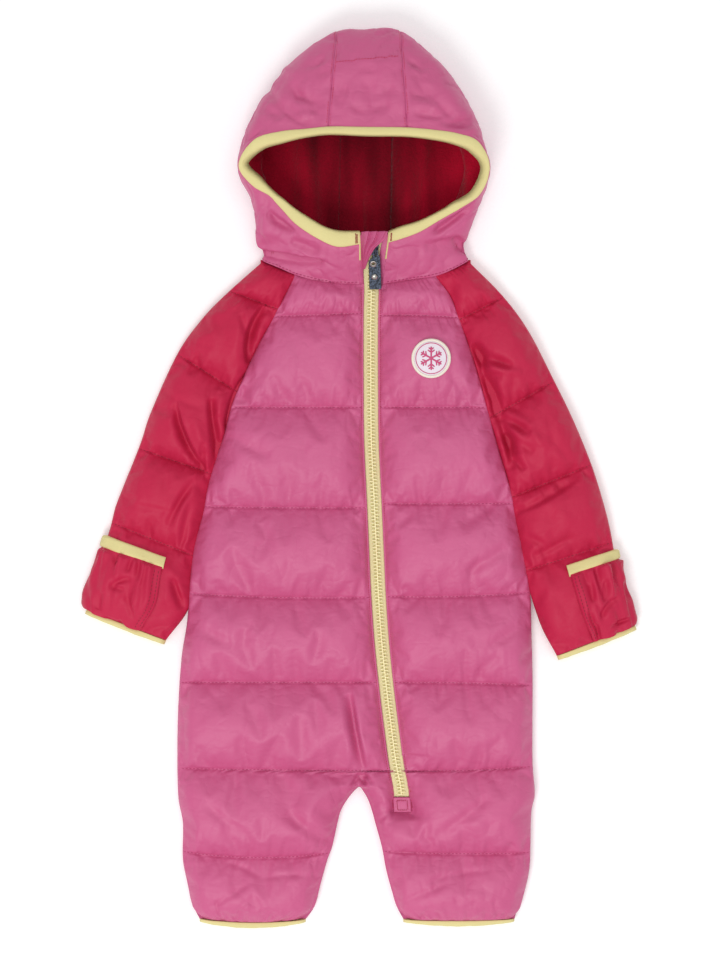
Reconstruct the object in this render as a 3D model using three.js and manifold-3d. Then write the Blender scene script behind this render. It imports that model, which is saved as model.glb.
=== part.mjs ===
// A baby snowsuit laid flat on its back, zip closed, hood standing open. Millimetres, +Z up, head to +Y.
import * as THREE from "three";
import { mergeVertices } from "three/addons/utils/BufferGeometryUtils.js";
import Module from "manifold-3d";

const wasm = await Module();
wasm.setup();

// Levels of the layers, from the floor up.
const BACK_TOP = 9.7;
const FRONT_BOTTOM = 10;
const SIDE_SEAM_TOP = 10.8;
const STITCH_TOP = 14.5;
const BACK_UNDER_ROUND = 10;

// Padding, seams and cloth.
const BODY_PUFF = 13.5;
const SLEEVE_PUFF = 15;
const PUFF_ROUND = 30;
const SIDE_ROUND = 17;
const SEAM_GAP = 0.5;
const HOOD_WALL = 3;
const LINING_WALL = 1.6;
const LAYER_GAP = 0.35;
const LINING_GAP = 0.9;
const FLAP_WALL = 2;
const BAND_RISE = 3;

// Zip.
const ZIP_HALF = 7.2;
const TAPE_HALF = 6.8;
const TAPE_WALL = 1.6;
const TAPE_TOP = 12.2;
const CHAIN_HALF = 3;
const CHAIN_WALL = 1.9;
const ZIP_BOTTOM = -286.5;
const END_TAB_BOTTOM = -300;
const SLIT_TOP = -240;
const LOWER_SHIFT_TOP = -248;

// Heights along the body where its parts change.
const HIP_LINE = -262.4;
const CROTCH = -277.3;
const UNDERARM_RIGHT = 40;
const UNDERARM_LEFT = -9;

// Badge.
const BADGE = { x: 66, y: 108.5, radius: 17.7, wall: 1.5, rim: 2.4, ridge: 0.8 };

const paint = {
  pink: { color: 0xd56c97, roughness: 0.5, metalness: 0 },
  red: { color: 0xc83455, roughness: 0.5, metalness: 0 },
  fleece: { color: 0x9c1030, roughness: 1, metalness: 0 },
  yellow: { color: 0xe2d387, roughness: 0.75, metalness: 0 },
  tape: { color: 0xeee3a4, roughness: 0.8, metalness: 0 },
  chain: { color: 0xf0e6ac, roughness: 0.4, metalness: 0 },
  steel: { color: 0x4c5666, roughness: 0.35, metalness: 0.9 },
  pull: { color: 0x4a5668, roughness: 0.5, metalness: 0.2 },
  stud: { color: 0xc9ccd2, roughness: 0.25, metalness: 1 },
  badge: { color: 0xf3ecd9, roughness: 0.6, metalness: 0 },
};

// Turns rows of numbers into rows with named columns.
function table(columns, rows) {
  return rows.map((row) => Object.fromEntries(columns.map((name, i) => [name, row[i]])));
}

// A smooth curve through a table: value as a function of key, which falls from row to row.
function smooth(rows, key, value) {
  const k = rows.map((row) => row[key]);
  const v = rows.map((row) => row[value]);
  const slope = v.map((_, i) => {
    const a = Math.max(i - 1, 0);
    const b = Math.min(i + 1, v.length - 1);
    return (v[b] - v[a]) / (k[b] - k[a]);
  });
  return (at) => {
    const q = THREE.MathUtils.clamp(at, k.at(-1), k[0]);
    let i = 0;
    while (i < k.length - 2 && q < k[i + 1]) i += 1;
    const h = k[i + 1] - k[i];
    const t = (q - k[i]) / h;
    const near = (2 * t ** 3 - 3 * t ** 2 + 1) * v[i] + (t ** 3 - 2 * t ** 2 + t) * h * slope[i];
    const far = (3 * t ** 2 - 2 * t ** 3) * v[i + 1] + (t ** 3 - t ** 2) * h * slope[i + 1];
    return near + far;
  };
}

const lerp = THREE.MathUtils.lerp;
const clamp01 = (v) => THREE.MathUtils.clamp(v, 0, 1);

// Rises from 0 to 1 as a quarter of a circle.
const quarter = (q) => Math.sqrt(1 - (1 - clamp01(q)) ** 2);

// The swell of padding between two lines of stitching.
const swell = (t) => Math.sin(Math.PI * clamp01(t)) ** 0.6;

const point = (x, y, z, s) => ({ x, y, z, s });

// Outlines of the body, from the neck down: side edges, zip and inner legs.
const sideRight = smooth(
  table(["y", "x"], [
    [183, -57], [165, -66], [144, -77], [122, -89], [90, -104], [68, -113], [40, -120.5], [14, -129],
    [-8, -135], [-29, -139], [-62, -147], [-94, -151], [-127, -153], [-159, -158], [-202, -161],
    [-245, -162], [-288, -161], [-310, -157], [-343, -157], [-364, -153], [-386, -148], [-400, -141],
  ]),
  "y",
  "x",
);
const sideLeft = smooth(
  table(["y", "x"], [
    [183, 71], [165, 84], [144, 92], [122, 100], [90, 110], [57, 119], [25, 128], [-9, 138],
    [-40, 143], [-72, 149], [-105, 154], [-137, 155], [-180, 156], [-256, 156], [-285, 158], [-299, 155],
    [-332, 154], [-353, 153], [-375, 148], [-400, 141],
  ]),
  "y",
  "x",
);
const zipLine = smooth(
  table(["y", "x"], [
    [216, 13], [176, 12.6], [144, 12], [90, 12], [36, 12.5], [-18, 15], [-62, 17], [-105, 19],
    [-148, 22], [-191, 26.5], [-235, 32], [-257, 35], [-278, 39], [-301, 41],
  ]),
  "y",
  "x",
);
const inseamRight = smooth(
  table(["y", "x"], [
    [-277.3, 0.5], [-288, -8.5], [-299, -15], [-310, -18], [-332, -23], [-343, -27], [-364, -33],
    [-386, -39], [-400, -49],
  ]),
  "y",
  "x",
);
const inseamLeft = smooth(
  table(["y", "x"], [
    [-277.3, 2.5], [-288, 9], [-299, 13], [-310, 16], [-332, 22], [-353, 26], [-375, 32], [-386, 35.5],
    [-400, 43],
  ]),
  "y",
  "x",
);

// Lines of quilting on each front, from neck seam to hem: y at the zip or inseam, halfway, and at the side.
const quiltRight = table(["inner", "middle", "side", "puff"], [
  [175.5, 177, 182.5, 0.62],
  [150, 148.5, 147, 0.9],
  [65, 65, 65, 1],
  [-25.5, -25.5, -24.5, 1],
  [-106.5, -106.5, -103, 1],
  [-183, -183, -183, 1],
  [HIP_LINE, -262, -260.5, 1],
  [-337, -341, -335.5, 0.8],
  [-397, -399.5, -396.5, 0],
]);
const quiltLeft = table(["inner", "middle", "side", "puff"], [
  [175, 178.5, 182.5, 0.62],
  [148, 148, 146, 0.9],
  [65, 65, 65, 1],
  [-22, -22, -21.5, 1],
  [-105.5, -105.5, -102, 1],
  [-183, -183.5, -186, 1],
  [HIP_LINE, -262.4, -259, 1],
  [-335.5, -337.5, -336.5, 0.8],
  [-397, -398, -396.5, 0],
]);

// The largest folds: a line in plan, the width of its valley and its depth, less than 0 for a ridge.
const frontFolds = table(["x1", "y1", "x2", "y2", "width", "depth"], [
  [-5, -203, 7, -262, 7, 7],
  [-66, -300, -20, -330, 8, 4],
  [-140, -290, -95, -322, 8, 4],
  [60, -300, 20, -296, 7, 4],
  [120, -285, 70, -322, 8, 4],
  [-118, 40, -78, 20, 8, 4],
  [-112, 70, -82, 100, 8, 4],
  [128, -20, 92, -42, 8, 4],
  [136, -60, 98, -84, 8, 4],
  [105, 60, 84, 96, 8, 3],
  [-145, -132, -112, -150, 8, 4],
  [150, -130, 118, -150, 8, 4],
]);

const sleeveFolds = table(["x1", "y1", "x2", "y2", "width", "depth"], [
  [-84, 150, -108, 95, 7, 8],
  [-108, 95, -130, 42, 7, 8],
  [-162, 67, -137, 17, 8, 7],
  [-146, 0, -170, -40, 8, 5],
  [-205, -22, -168, -30, 7, 4],
  [98, 130, 124, 62, 7, 7],
  [130, 92, 146, 30, 8, 6],
  [142, 22, 186, 42, 8, 6],
  [146, -30, 196, -2, 8, 6],
  [158, -70, 196, -48, 7, 4],
]);

// How far the folds of a table lower a place in plan.
function foldDepth(folds, x, y) {
  let depth = 0;
  for (const fold of folds) {
    const dx = fold.x2 - fold.x1;
    const dy = fold.y2 - fold.y1;
    const length = Math.hypot(dx, dy);
    const along = ((x - fold.x1) * dx + (y - fold.y1) * dy) / length ** 2;
    const across = ((x - fold.x1) * dy - (y - fold.y1) * dx) / length;
    const ends = Math.max(0, along - 1, -along) * length;
    const fade = Math.sin(Math.PI * clamp01(along)) ** 0.5;
    depth += fold.depth * fade * Math.exp(-((across ** 2 + ends ** 2) / (2 * (fold.width / 2) ** 2)));
  }
  return depth;
}

// Triangles between two rows of vertices, by how far along its row each vertex lies.
function strip(faces, rowA, rowB, closed) {
  const a = closed ? [...rowA, { ...rowA[0], s: 1 }] : rowA;
  const b = closed ? [...rowB, { ...rowB[0], s: 1 }] : rowB;
  let i = 0;
  let j = 0;
  while (i < a.length - 1 || j < b.length - 1) {
    const stepA = j === b.length - 1 || (i < a.length - 1 && a[i + 1].s <= b[j + 1].s + 1e-6);
    if (stepA) {
      faces.push(a[i].id, a[i + 1].id, b[j].id);
      i += 1;
    } else {
      faces.push(a[i].id, b[j + 1].id, b[j].id);
      j += 1;
    }
  }
}

// A closed solid from rows of points on its outer face and as many rows on its inner face.
function wall(outer, inner, closed = false) {
  const places = [];
  const number = (row) => row.map((p) => ({ ...p, id: places.push(p.x, p.y, p.z) / 3 - 1 }));
  const out = outer.map(number);
  const inn = inner.map(number);
  const faces = [];
  const last = out.length - 1;
  for (let i = 0; i < last; i += 1) {
    strip(faces, out[i], out[i + 1], closed);
    strip(faces, inn[i + 1], inn[i], closed);
  }
  strip(faces, inn[0], out[0], closed);
  strip(faces, out[last], inn[last], closed);
  if (!closed) {
    for (let i = 0; i < last; i += 1) {
      const [a, b, c, d] = [out[i][0], out[i + 1][0], inn[i + 1][0], inn[i][0]];
      faces.push(a.id, b.id, c.id, a.id, c.id, d.id);
      const [e, f, g, h] = [out[i].at(-1), out[i + 1].at(-1), inn[i + 1].at(-1), inn[i].at(-1)];
      faces.push(e.id, g.id, f.id, e.id, h.id, g.id);
    }
  }
  const geometry = new THREE.BufferGeometry();
  geometry.setAttribute("position", new THREE.Float32BufferAttribute(places, 3));
  geometry.setIndex(volumeOf(places, faces) < 0 ? faces.reverse() : faces);
  return geometry;
}

function volumeOf(places, faces) {
  let volume = 0;
  const corner = (i) => new THREE.Vector3().fromArray(places, faces[i] * 3);
  for (let i = 0; i < faces.length; i += 3) {
    volume += corner(i).dot(corner(i + 1).cross(corner(i + 2))) / 6;
  }
  return volume;
}

// Keeps the ends of a row and a few points between, for the plain inner face of a wall.
function thin(row, keep) {
  return row.filter((_, i) => keep.includes(i) || i === 0 || i === row.length - 1);
}

// Outward directions on a grid of points that face up or out.
function normals(rows, turn = 1) {
  return rows.map((row, i) =>
    row.map((_, j) => {
      const before = rows[Math.max(i - 1, 0)][j];
      const after = rows[Math.min(i + 1, rows.length - 1)][j];
      const left = row[Math.max(j - 1, 0)];
      const right = row[Math.min(j + 1, row.length - 1)];
      const u = new THREE.Vector3(right.x - left.x, right.y - left.y, right.z - left.z);
      const v = new THREE.Vector3(after.x - before.x, after.y - before.y, after.z - before.z);
      return u.cross(v).normalize().multiplyScalar(turn);
    }),
  );
}

function moved(rows, direction, distance) {
  return rows.map((row, i) =>
    row.map((p, j) => {
      const n = direction[i][j];
      return point(p.x + n.x * distance, p.y + n.y * distance, p.z + n.z * distance, p.s);
    }),
  );
}

// The height of a grid of points above a place in plan.
function heightOn(rows, x, y) {
  const target = new THREE.Vector3(x, y, 0);
  const bary = new THREE.Vector3();
  for (let i = 0; i < rows.length - 1; i += 1) {
    for (let j = 0; j < rows[i].length - 1; j += 1) {
      const corners = [rows[i][j], rows[i][j + 1], rows[i + 1][j + 1], rows[i + 1][j]];
      for (const [a, b, c] of [[0, 1, 2], [0, 2, 3]]) {
        const [p, q, r] = [corners[a], corners[b], corners[c]];
        const flat = [p, q, r].map((v) => new THREE.Vector3(v.x, v.y, 0));
        THREE.Triangle.getBarycoord(target, ...flat, bary);
        if (bary.x >= -1e-6 && bary.y >= -1e-6 && bary.z >= -1e-6) {
          return bary.x * p.z + bary.y * q.z + bary.z * r.z;
        }
      }
    }
  }
  throw new Error(`no surface above ${x}, ${y}`);
}

function toSolid(geometry) {
  const bare = new THREE.BufferGeometry();
  bare.setAttribute("position", geometry.getAttribute("position"));
  if (geometry.index) bare.setIndex(geometry.index);
  const merged = mergeVertices(bare, 1e-4);
  return new wasm.Manifold(
    new wasm.Mesh({
      numProp: 3,
      vertProperties: merged.getAttribute("position").array,
      triVerts: new Uint32Array(merged.index.array),
    }),
  );
}

function toGeometry(solid) {
  const mesh = solid.getMesh();
  const geometry = new THREE.BufferGeometry();
  geometry.setAttribute("position", new THREE.BufferAttribute(new Float32Array(mesh.vertProperties), 3));
  geometry.setIndex(new THREE.BufferAttribute(new Uint32Array(mesh.triVerts), 1));
  return geometry;
}

const suit = new THREE.Group();

function add(name, geometry, finish, parent = suit) {
  const mesh = new THREE.Mesh(geometry, new THREE.MeshStandardMaterial(paint[finish]));
  mesh.name = name;
  parent.add(mesh);
  return mesh;
}

// Where the rows of a quilted band lie, from one line of stitching to the next.
const BAND_STEPS = [0, 0.06, 0.2, 0.4, 0.6, 0.8, 0.94];
const FRONT_COLUMNS = [0, 0.02, 0.07, 0.16, 0.28, 0.42, 0.56, 0.7, 0.82, 0.9, 0.95, 0.985, 1];
const FRONT_MIDDLE = 6;

// Rows between lines of quilting: which band, how far through it, and the puff of that band.
function bandRows(lines) {
  const rows = [];
  lines.slice(0, -1).forEach((line, band) => {
    for (const t of BAND_STEPS) rows.push({ band, t, puff: line.puff });
  });
  rows.push({ band: lines.length - 2, t: 1, puff: 0 });
  return rows;
}

// The y of a quilted line at a fraction of the way from the inner edge to the side.
function lineY(line, u) {
  const bend = line.middle - (line.inner + line.side) / 2;
  return lerp(line.inner, line.side, u) + bend * 4 * u * (1 - u);
}

function frontInnerRight(y) {
  if (y >= HIP_LINE) return zipLine(y) - ZIP_HALF;
  const below = (HIP_LINE - y) / (HIP_LINE - CROTCH);
  if (y > CROTCH) return lerp(zipLine(HIP_LINE) - ZIP_HALF, inseamRight(CROTCH), below);
  return inseamRight(y);
}

function frontInnerLeft(y) {
  const hip = zipLine(HIP_LINE) - ZIP_HALF + 1.2;
  if (y >= LOWER_SHIFT_TOP) return zipLine(y) + ZIP_HALF;
  if (y >= HIP_LINE) {
    const across = (LOWER_SHIFT_TOP - y) / (LOWER_SHIFT_TOP - HIP_LINE);
    return lerp(zipLine(LOWER_SHIFT_TOP) + ZIP_HALF, hip, across);
  }
  if (y > CROTCH) return lerp(hip, inseamLeft(CROTCH), (HIP_LINE - y) / (HIP_LINE - CROTCH));
  return inseamLeft(y);
}

// The outer points of one front, row by row from the neck seam to the hem.
function frontRows(lines, innerEdge, sideEdge, underarm) {
  return bandRows(lines).map(({ band, t, puff }) =>
    FRONT_COLUMNS.map((u) => {
      const y = lerp(lineY(lines[band], u), lineY(lines[band + 1], u), t);
      const yInner = lerp(lines[band].inner, lines[band + 1].inner, t);
      const ySide = lerp(lines[band].side, lines[band + 1].side, t);
      const xInner = innerEdge(yInner);
      const xSide = sideEdge(ySide);
      const x = lerp(xInner, xSide, u);
      const width = Math.abs(xSide - xInner);
      const fromInner = u * width;
      const fromSide = (1 - u) * width;
      const facing = 2.4;
      const crown = quarter((fromInner - facing) / PUFF_ROUND) * quarter(fromSide / PUFF_ROUND);
      const fold = foldDepth(frontFolds, x, y) * swell(t) * crown;
      let z = STITCH_TOP + BODY_PUFF * puff * swell(t) * crown - fold;
      if (ySide < underarm) {
        const start = clamp01((underarm - ySide) / 20);
        const rounded = SIDE_SEAM_TOP + (z - SIDE_SEAM_TOP) * quarter(fromSide / SIDE_ROUND);
        z = lerp(z, rounded, start);
      }
      if (yInner < CROTCH + 0.1) {
        z = SIDE_SEAM_TOP + (z - SIDE_SEAM_TOP) * quarter((fromInner + 0.01) / SIDE_ROUND);
      }
      return point(x, y, Math.max(z, SIDE_SEAM_TOP), u);
    }),
  );
}

function flatUnder(rows, keep) {
  return rows.map((row, i) => {
    const plain = row.map((p) => point(p.x, p.y, FRONT_BOTTOM, p.s));
    return i === 0 || i === rows.length - 1 ? plain : thin(plain, keep);
  });
}

const rowsFrontRight = frontRows(quiltRight, frontInnerRight, sideRight, UNDERARM_RIGHT);
const rowsFrontLeft = frontRows(quiltLeft, frontInnerLeft, sideLeft, UNDERARM_LEFT);

function makeFronts() {
  add("front_right", wall(rowsFrontRight, flatUnder(rowsFrontRight, [FRONT_MIDDLE])), "pink");
  const whole = toSolid(wall(rowsFrontLeft, flatUnder(rowsFrontLeft, [FRONT_MIDDLE])));
  const slit = new THREE.Shape();
  const steps = 8;
  for (let i = 0; i <= steps; i += 1) {
    const y = lerp(SLIT_TOP, END_TAB_BOTTOM - SEAM_GAP, i / steps);
    if (i === 0) slit.moveTo(zipLine(y) - ZIP_HALF, y);
    else slit.lineTo(zipLine(y) - ZIP_HALF, y);
  }
  for (let i = steps; i >= 0; i -= 1) {
    const y = lerp(SLIT_TOP, END_TAB_BOTTOM - SEAM_GAP, i / steps);
    slit.lineTo(zipLine(y) + ZIP_HALF, y);
  }
  const cutter = new THREE.ExtrudeGeometry(slit, { depth: 60, bevelEnabled: false });
  const cut = whole.subtract(toSolid(cutter));
  const largest = cut.decompose().sort((a, b) => b.volume() - a.volume())[0];
  add("front_left", toGeometry(largest), "pink");
}

// Backs: flat where they lie, rounded up to the side seam.
const BACK_NECK = 197.9;
const BACK_RAGLAN_RIGHT = -52;
const BACK_RAGLAN_LEFT = 65;

function backSideRight(y) {
  const t = clamp01((BACK_NECK - y) / (BACK_NECK - UNDERARM_RIGHT));
  return y > UNDERARM_RIGHT ? lerp(BACK_RAGLAN_RIGHT, sideRight(UNDERARM_RIGHT), t) : sideRight(y);
}

function backSideLeft(y) {
  const t = clamp01((BACK_NECK - y) / (BACK_NECK - UNDERARM_LEFT));
  return y > UNDERARM_LEFT ? lerp(BACK_RAGLAN_LEFT, sideLeft(UNDERARM_LEFT), t) : sideLeft(y);
}

const centreBack = (y) => lerp(2, 8, clamp01((y - CROTCH) / (BACK_NECK - CROTCH)));
const BACK_COLUMNS = [0, 0.06, 0.5, 0.9, 0.94, 0.97, 0.99, 1];

function makeBack(name, sideEdge, inseam, underarm, direction) {
  const rows = [];
  const count = 26;
  const hem = -397;
  const stops = [];
  for (let i = 0; i <= count; i += 1) stops.push(lerp(BACK_NECK, hem, i / count));
  stops.push(CROTCH, underarm);
  stops.sort((a, b) => b - a);
  for (const y of stops) {
    const centre = y >= CROTCH ? centreBack(y) + direction * SEAM_GAP : inseam(y);
    const side = sideEdge(y);
    const width = Math.abs(side - centre);
    rows.push(
      BACK_COLUMNS.map((u) => {
        const fromSide = (1 - u) * width;
        const fromCentre = u * width;
        let z = 0;
        if (y < underarm) {
          const rounded = (BACK_TOP - 0.8) * (1 - quarter(fromSide / BACK_UNDER_ROUND));
          z = rounded * clamp01((underarm - y) / 20);
        }
        if (y < CROTCH) {
          z = Math.max(z, (BACK_TOP - 0.8) * (1 - quarter(fromCentre / BACK_UNDER_ROUND)));
        }
        return point(lerp(centre, side, u), y, z, u);
      }),
    );
  }
  const top = rows.map((row, i) => {
    const plain = row.map((p) => point(p.x, p.y, BACK_TOP, p.s));
    return i === 0 || i === rows.length - 1 ? plain : thin(plain, [2]);
  });
  add(name, wall(rows, top), "pink");
}

// Sleeves: each row runs from the front seam over the outer fold and back along the floor. fy and gy are
// where the front and back edges lie on the body's side, fx is set where the sleeve leaves it, ox and oy are
// the outer fold, and line is 1 on a line of quilting.
const sleeveRightTable = table(["fx", "fy", "ox", "oy", "gy", "line", "puff"], [
  [null, 182.3, -86, 193, 195.5, 1, 0.55],
  [null, 153.5, -113, 169, 158, 1, 0.9],
  [null, 116.5, -138, 143, 118, 0, 1],
  [null, 79, -161, 112, 79, 1, 1],
  [null, 40, -184, 61, 40, 0, 1],
  [null, 5, -193, 26.5, 5, 1, 1],
  [null, -32, -206, -7, -32, 0, 0.95],
  [null, -69, -219.5, -40, -69, 1, 0.75],
  [null, -114, -237, -92, -114, 0, 0.75],
  [-173, -145, -245, -117, -145, 1, 0],
]);
const sleeveLeftTable = table(["fx", "fy", "ox", "oy", "gy", "line", "puff"], [
  [null, 182.3, 101, 193, 195.5, 1, 0.55],
  [null, 144, 130, 163.5, 150, 1, 0.9],
  [null, 100, 153, 131, 108, 0, 1],
  [null, 55.5, 175, 87, 65, 1, 1],
  [null, 22, 193, 49, 26, 0, 1],
  [null, -16, 208, 12, -16, 1, 1],
  [null, -50, 219, -23, -50, 0, 0.95],
  [null, -83, 229.5, -57, -83, 1, 0.75],
  [165, -130, 241, -100, -130, 0, 0.75],
  [180, -159, 251, -131.5, -159, 1, 0],
]);

const SLEEVE_FRONT = [0, 0.02, 0.06, 0.13, 0.22, 0.32, 0.45, 0.6, 0.75, 0.87, 0.93, 0.97];
const SLEEVE_UNDER = [0.95, 0.88, 0.6, 0.1, 0];

function sleeveStations(rows) {
  const marks = rows.map((row, i) => (row.line ? i : -1)).filter((i) => i >= 0);
  const stations = [];
  for (let m = 0; m < marks.length - 1; m += 1) {
    for (const t of BAND_STEPS) stations.push({ v: lerp(marks[m], marks[m + 1], t), t });
  }
  stations.push({ v: rows.length - 1, t: 1 });
  return stations;
}

// One sleeve's shape as a function of how far down it is and a column.
function sleeveShape(rows, frontEdge, backEdge, outward, underarm) {
  const keyed = rows.map((row, i) => ({ ...row, key: -i }));
  const edge = (name, free) => {
    const filled = keyed.map((row) => ({ key: row.key, value: free(row) }));
    return smooth(filled, "key", "value");
  };
  const fy = edge("fy", (row) => row.fy);
  const gy = edge("gy", (row) => row.gy);
  const ox = edge("ox", (row) => row.ox);
  const oy = edge("oy", (row) => row.oy);
  const puff = edge("puff", (row) => row.puff);
  const leaves = rows.findIndex((row) => row.fx !== null);
  const gap = outward * SEAM_GAP * 1.3;
  const fx = edge("fx", (row) => (row.fx === null ? frontEdge(row.fy) + gap : row.fx));
  const onBody = (v) => v <= leaves - 1;
  return (v, t, rise = 1) => {
    const front = { y: fy(-v) };
    front.x = onBody(v) ? frontEdge(front.y) + gap : fx(-v);
    const back = { y: gy(-v) };
    back.x = onBody(v) ? backEdge(back.y) + gap : fx(-v);
    const outer = { x: ox(-v), y: oy(-v) };
    const width = Math.hypot(outer.x - front.x, outer.y - front.y);
    const free = clamp01((underarm - front.y) / 20);
    const row = [];
    SLEEVE_FRONT.forEach((u) => {
      const x = lerp(front.x, outer.x, u);
      const y = lerp(front.y, outer.y, u);
      const fromFront = u * width;
      const fromOuter = (1 - u) * width;
      const crown = quarter(fromFront / (PUFF_ROUND * 0.8)) * quarter(fromOuter / PUFF_ROUND);
      const fold = foldDepth(sleeveFolds, x, y) * crown * swell(t);
      let z = STITCH_TOP + SLEEVE_PUFF * puff(-v) * swell(t) * crown * rise - fold;
      z = lerp(z, SIDE_SEAM_TOP + (z - SIDE_SEAM_TOP) * quarter(fromFront / SIDE_ROUND), free);
      z = FRONT_BOTTOM + (z - FRONT_BOTTOM) * quarter(fromOuter / SIDE_ROUND);
      row.push(point(x, y, Math.max(z, FRONT_BOTTOM + 0.5), 0.5 * u));
    });
    row.push(point(outer.x, outer.y, FRONT_BOTTOM - 1, 0.5));
    SLEEVE_UNDER.forEach((u) => {
      const x = lerp(back.x, outer.x, u);
      const y = lerp(back.y, outer.y, u);
      const fromOuter = (1 - u) * width;
      const fromBack = u * width;
      let z = (FRONT_BOTTOM - 1) * (1 - quarter(fromOuter / (BACK_UNDER_ROUND * 0.9)));
      z = Math.max(z, free * (BACK_TOP - 0.8) * (1 - quarter(fromBack / BACK_UNDER_ROUND)));
      row.push(point(x, y, z, 1 - 0.5 * u));
    });
    return row;
  };
}

// The inner face of a sleeve's wall: a flat slot that stops short of the outer fold.
function sleeveInside(rows) {
  const foldIndex = SLEEVE_FRONT.length;
  return rows.map((row, i) => {
    const front = row[0];
    const outer = row[foldIndex];
    const stop = 1 - 7 / Math.hypot(outer.x - front.x, outer.y - front.y);
    const plain = row.map((p, j) => {
      const under = j > foldIndex;
      const level = j === foldIndex ? (FRONT_BOTTOM + BACK_TOP) / 2 : under ? BACK_TOP : FRONT_BOTTOM;
      const start = under ? row.at(-1) : front;
      const span = Math.hypot(outer.x - start.x, outer.y - start.y);
      const reach = j === foldIndex ? stop + 0.002 : stop;
      const u = Math.min(Math.hypot(p.x - start.x, p.y - start.y) / span, 1) * reach;
      return point(lerp(start.x, outer.x, u), lerp(start.y, outer.y, u), level, p.s);
    });
    const ends = i === 0 || i === rows.length - 1;
    return ends ? plain : thin(plain, [4, foldIndex - 1, foldIndex, foldIndex + 1]);
  });
}

const shapeSleeveRight = sleeveShape(sleeveRightTable, sideRight, backSideRight, -1, UNDERARM_RIGHT);
const shapeSleeveLeft = sleeveShape(sleeveLeftTable, sideLeft, backSideLeft, 1, UNDERARM_LEFT);

// What lies on a sleeve takes some of its rows and columns, moved out.
function rowBetween(a, b, f) {
  return a.map((p, j) => point(lerp(p.x, b[j].x, f), lerp(p.y, b[j].y, f), lerp(p.z, b[j].z, f), p.s));
}

function layer(rows, direction, low, high) {
  return wall(moved(rows, direction, high), moved(rows, direction, low));
}

// A sleeve with its turn-over flap and the band at the flap's upper edge. firstColumn is where both start.
function makeSleeve(side, rows, shape, firstColumn, turn) {
  const stations = sleeveStations(rows);
  const outer = stations.map(({ v, t }) => shape(v, t));
  add(`sleeve_${side}`, wall(outer, sleeveInside(outer)), "red");

  const above = outer.length - 1 - BAND_STEPS.length + 1;
  const lastColumn = SLEEVE_FRONT.length;
  const part = (list) => list.map((row) => row.slice(firstColumn, lastColumn + 1));
  const bandRowsOut = part([0.4, 0.66, 0.9].map((f) => rowBetween(outer[above], outer[above + 1], f)));
  const band = layer(bandRowsOut, normals(bandRowsOut, turn), LAYER_GAP, LAYER_GAP + BAND_RISE);
  add(`flap_band_${side}`, band, "yellow");
  const flapRows = part([rowBetween(outer[above + 1], outer[above + 2], 0.04), ...outer.slice(above + 2)]);
  const flap = layer(flapRows, normals(flapRows, turn), LAYER_GAP, LAYER_GAP + FLAP_WALL);
  add(`mitten_flap_${side}`, flap, "red");
}

// Elastic binding round a flat opening, from end a to end b. It follows the opening's bend.
function edgeBinding(name, a, b, away, shape) {
  const across = 12;
  const outer = [];
  const inner = [];
  for (const [f, thick] of [[0, 1], [0.5, 1.04], [1, 0.9]]) {
    const ring = [];
    const slot = [];
    const middle = shape.height / 2;
    const halfHigh = middle * thick;
    const round = halfHigh;
    const length = Math.hypot(b.x - a.x, b.y - a.y);
    const place = (u, z, s) => {
      const halfway = (shape.bend + f * (shape.depth - shape.ends)) * 4 * u * (1 - u);
      const reach = shape.gap + f * shape.ends + halfway;
      const x = lerp(a.x, b.x, u) + away.x * reach;
      const y = lerp(a.y, b.y, u) + away.y * reach;
      return point(x, y, z, s);
    };
    for (let i = 0; i < 2 * across; i += 1) {
      const s = i / (2 * across);
      const under = s >= 0.5;
      const w = under ? 2 - 2 * s : 2 * s;
      const u = lerp(0, 1, (1 - Math.cos(Math.PI * w)) / 2);
      const nearEnd = Math.min(u, 1 - u) * length;
      const lift = halfHigh * quarter(nearEnd / round);
      ring.push(place(u, Math.max(0, middle + (under ? -lift : lift)), s));
      const shrunk = lerp(shape.wall / length, 1 - shape.wall / length, u);
      slot.push(place(shrunk, under || i === 0 ? BACK_TOP : FRONT_BOTTOM, s));
    }
    outer.push(ring);
    inner.push(slot);
  }
  add(name, wall(outer, inner, true), "yellow");
}

function makeBindings() {
  const hem = { height: 13.5, depth: 5, ends: 2.5, gap: 0.5, wall: 3 };
  const down = { x: 0, y: -1 };
  for (const [side, lines, innerEdge, sideEdge] of [
    ["right", quiltRight, frontInnerRight, sideRight],
    ["left", quiltLeft, frontInnerLeft, sideLeft],
  ]) {
    const line = lines.at(-1);
    const a = { x: sideEdge(line.side), y: line.side };
    const b = { x: innerEdge(line.inner), y: line.inner };
    const bend = (line.inner + line.side) / 2 - line.middle;
    edgeBinding(`hem_binding_${side}`, a, b, down, { ...hem, bend });
  }
  for (const [side, rows] of [["right", sleeveRightTable], ["left", sleeveLeftTable]]) {
    const last = rows.at(-1);
    const a = { x: last.ox, y: last.oy };
    const b = { x: last.fx, y: last.fy };
    const length = Math.hypot(b.x - a.x, b.y - a.y);
    const turn = side === "right" ? 1 : -1;
    const away = { x: (turn * (b.y - a.y)) / length, y: (-turn * (b.x - a.x)) / length };
    const cuff = { height: 13, depth: 5, ends: 4, gap: 0.5, wall: 3, bend: 0 };
    edgeBinding(`cuff_binding_${side}`, a, b, away, cuff);
  }
}

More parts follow.
